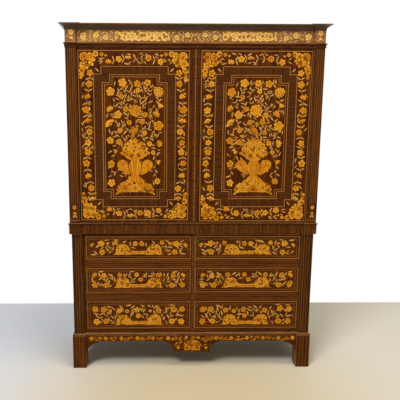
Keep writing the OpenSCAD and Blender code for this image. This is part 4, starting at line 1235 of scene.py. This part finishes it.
for x in (-709, 714):
    flower(blocks, "blossom", x, 2036, 14, wood="sycamore")
    flower(blocks, "bud", x, 2010, 11, DOWN, "sycamore")
    fill_with_leaves(blocks, rectangle(x - 24, x + 24, 1990, 2050), tries=90, length=20)
blocks.lay()

# %% Apron with its pendant
apron = front_bed("apron", "cabinet", "apron_front")
apron.leaf_wood = "satinwood"
APRON_MIDDLE = 4
basket = [(0, 110), (44, 110), (54, 120), (50, 134), (58, 146), (50, 160), (36, 170), (18, 178), (0, 178)]
field(apron, both_sides(basket, APRON_MIDDLE),
      [(4, 146, 20), (-30, 126, 13), (38, 126, 13), (-30, 156, 12), (38, 156, 12)],
      ("satinwood",), size=9, browned=0.45)
for side in (-1, 1):
    for i, x in enumerate((152, 248, 346, 447, 546, 636)):
        flower(apron, ("daisy", "rose", "blossom")[i % 3], APRON_MIDDLE + side * x, 191, 12)
    flower(apron, "bud", APRON_MIDDLE + side * 88, 122, 12)
    flower(apron, "daisy", APRON_MIDDLE + side * 38, 195, 10)
fill_with_leaves(apron, rectangle(-652, 652, 175, 205), tries=900, length=24)
fill_with_leaves(apron, rectangle(-108, 108, 106, 204), tries=160, length=26)
apron.lay()

# %% Lines on pilasters and feet
CASE_LINE = 2.4
for node, low, high, places in [
        ("upper_pilaster_left", 1052, 1978, (-730, -719, -707.5, -695)),
        ("upper_pilaster_right", 1052, 1978, (700.5, 711.5, 723, 734)),
        ("lower_pilaster_left", 234, 856, (-715, -700, -685)),
        ("lower_pilaster_right", 234, 856, (684, 699, 714)),
        ("foot_front_left", 6, 204, (-725, -705, -685)),
        ("foot_front_right", 6, 204, (685, 705, 725))]:
    lines = front_bed(node.replace("_front", ""), "cabinet", node)
    for x in places:
        strip(lines, "tulipwood", [(x, low), (x, high)], CASE_LINE)
    mid = sum(places) / len(places)
    if node.startswith("upper"):
        flower(lines, "blossom", mid, 1030, 12)
        flower(lines, "bud", mid, 998, 11, DOWN)
        for lean in (0.5, -0.5):
            leaf(lines, mid, 986, 24, 8, DOWN + lean)
        strip(lines, "boxwood", [(mid - 24, 950), (mid + 24, 950)], CASE_LINE)
    elif node.startswith("lower"):
        strip(lines, "boxwood", [(mid - 26, 860), (mid + 26, 860)], CASE_LINE)
    lines.lay()

# %% A crossband between two lines on each side panel
for side in (-1, 1):
    for stage, y0, y1, z0, z1 in (("upper", -206, 236, 962, 1948), ("lower", -198, 236, 256, 836)):
        node = f"{stage}_side_{'left' if side < 0 else 'right'}"
        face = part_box(node)[0].x if side < 0 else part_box(node)[1].x
        panel = Bed(node, "cabinet", (face, 0, 0), (0, side, 0))
        loop = rectangle(*sorted((side * y0, side * y1)), z0, z1)
        stringing(panel, loop)
        stringing(panel, offset(loop, -40), LINE * 0.8, "tulipwood")
        band(panel, "crossband_upright", offset(loop, -38), offset(loop, -2))
        panel.lay()

# %% A twisted line down the astragal, in slanting chips of two tones
twist = Bed("meeting_line", "upper_right_leaf", (3.5 * MM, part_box("upper_astragal")[0].y, 0))
for i, z in enumerate(range(942, 1942, 8)):
    twist.chip(("boxwood", "tulipwood")[i % 2], [(-1.9, z), (1.9, z + 3), (1.9, z + 10.4), (-1.9, z + 7.4)])
twist.lay()
print("inlay pieces:", len(laid))


# %% [markdown]
# ## Screws and pins
# Every plate is held by slotted screws, filed flush by hand, so each slot points its own way. A head is
# a dark disc with two bright half moons on it, and the slot is what stays free between them. They are
# laid like the inlay, on beds that can also face back, up or down.

# %% One slotted screw head after another
HEAD, SLOT = 4.4, 0.6
FRONT_TO_BACK = (0, 1, 0)


def screws(name, body, corner, across, places, up=(0, 0, 1)):
    """Countersunk screws on a face; each place is a screw's middle across and up that face."""
    bed = Bed(name, body, corner, across, up)
    edge = math.asin(SLOT / HEAD)
    disc_rim = [polar(HEAD / 2, math.tau * k / 16) for k in range(16)]
    moons = [[polar(HEAD / 2 - 0.1, half + edge + (math.pi - 2 * edge) * k / 8) for k in range(9)]
             for half in (0, math.pi)]
    for i, (x, z) in enumerate(places):
        bed.chip("old_brass", placed(disc_rim, x, z))
        for moon in moons:
            bed.chip("brass", placed(moon, x, z, 0.9 * i + 0.4))
    bed.lay()


def in_mm(node):
    """The two corners of a packed board's box, in millimetres."""
    return [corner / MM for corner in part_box(node)]


# %% Screws of the hinge plates and the bolts' plates
RUNNING_GAP = 2.5  # between a leaf and the case, in millimetres like the other sizes here
HINGE_SCREWS = (9, 28)  # from the inner end of a hinge plate
BOLT_PLATE = 132
BOLT_SCREWS = (-7.4, 7.4)  # to the two sides of a slip bolt
INSET = 6
LEFT_LEAF = {"upper": "upper_left_door_frame", "lower": "lower_left_door"}
for stage in ("upper", "lower"):
    for side, hand in ((-1, "left"), (1, "right")):
        low, high = in_mm(f"{stage}_{hand}_hinge_plates")
        inner = high.x if side < 0 else low.x
        places = [(inner + side * d, (low.y + high.y) / 2) for d in HINGE_SCREWS]
        flipped = [(x, -y) for x, y in places]
        for end, z, outward in (("bottom", low.z, -1), ("top", high.z, 1)):
            here, facing = (places, flipped) if outward > 0 else (flipped, places)
            screws(f"{stage}_{hand}_{end}_hinge_screws", f"{stage}_{hand}_leaf", (0, 0, z * MM), (1, 0, 0),
                   here, (0, outward, 0))
            screws(f"{stage}_{hand}_{end}_pin_plate_screws", "cabinet",
                   (0, 0, (z + outward * RUNNING_GAP) * MM), (1, 0, 0), facing, (0, -outward, 0))
    foot, head = in_mm(LEFT_LEAF[stage])
    low, high = in_mm(f"{stage}_top_slip_bolt")
    middle = (low.x + high.x) / 2
    heights = (head.z - INSET, head.z - BOLT_PLATE + INSET, foot.z + INSET, foot.z + BOLT_PLATE - INSET)
    screws(f"{stage}_bolt_plate_screws", f"{stage}_left_leaf", (0, head.y * MM, 0), (-1, 0, 0),
           [(-middle + dx, z) for dx in BOLT_SCREWS for z in heights])

# %% Screws of the locks and their keep plates, and pins of the keyhole plates
LOCK_SCREWS = (-36, 36)  # below and above the keyhole
KEEP_UP, KEEP_SCREWS, KEEP_IN = 16, (-16, 16), 7
for stage, case, plate in (("upper", "upper_lock_case", "upper_escutcheon"),
                           ("lower", "lower_lock_cases", "lower_escutcheons")):
    low, high = in_mm(case)
    keys = KEYHOLES[stage]
    screws(f"{stage}_lock_screws", f"{stage}_right_leaf", (0, high.y * MM, 0), (-1, 0, 0),
           [(-x, z + dz) for x in (low.x + INSET, high.x - INSET) for _, z in keys for dz in LOCK_SCREWS])
    meeting = in_mm(LEFT_LEAF[stage])[1].x
    screws(f"{stage}_keep_screws", f"{stage}_left_leaf", (meeting * MM, 0, 0), FRONT_TO_BACK,
           [(high.y - KEEP_IN, z + KEEP_UP + dz) for _, z in keys for dz in KEEP_SCREWS])
    pins = Bed(f"{stage}_escutcheon_pins", f"{stage}_right_leaf", (0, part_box(plate)[0].y, 0))
    reach = (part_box(plate)[1].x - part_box(plate)[0].x) / MM * 0.58
    for x, z in keys:
        for dz in (-reach, reach):
            disc(pins, "brass", x, z + dz, 1.1, sides=10)
    pins.lay()

# %% Screws through the cleats under the shelves
CLEAT_FACE, CLEAT_MIDDLE = 17.8, 9  # in from the shelf's end, and down from its underside
CLEAT_SCREWS = (-150, 35, 215)
for node in ("upper_shelf_low", "upper_shelf_middle", "upper_shelf_high", "lower_shelf"):
    low, high = in_mm(node)
    for side in (-1, 1):
        face = side * (high.x - CLEAT_FACE)
        screws(f"{node}_cleat_screws_{'left' if side < 0 else 'right'}", "cabinet", (face * MM, 0, 0),
               (0, -side, 0), [(-side * y, low.z - CLEAT_MIDDLE) for y in CLEAT_SCREWS])
print("small pieces in all, with the inlay:", len(laid))
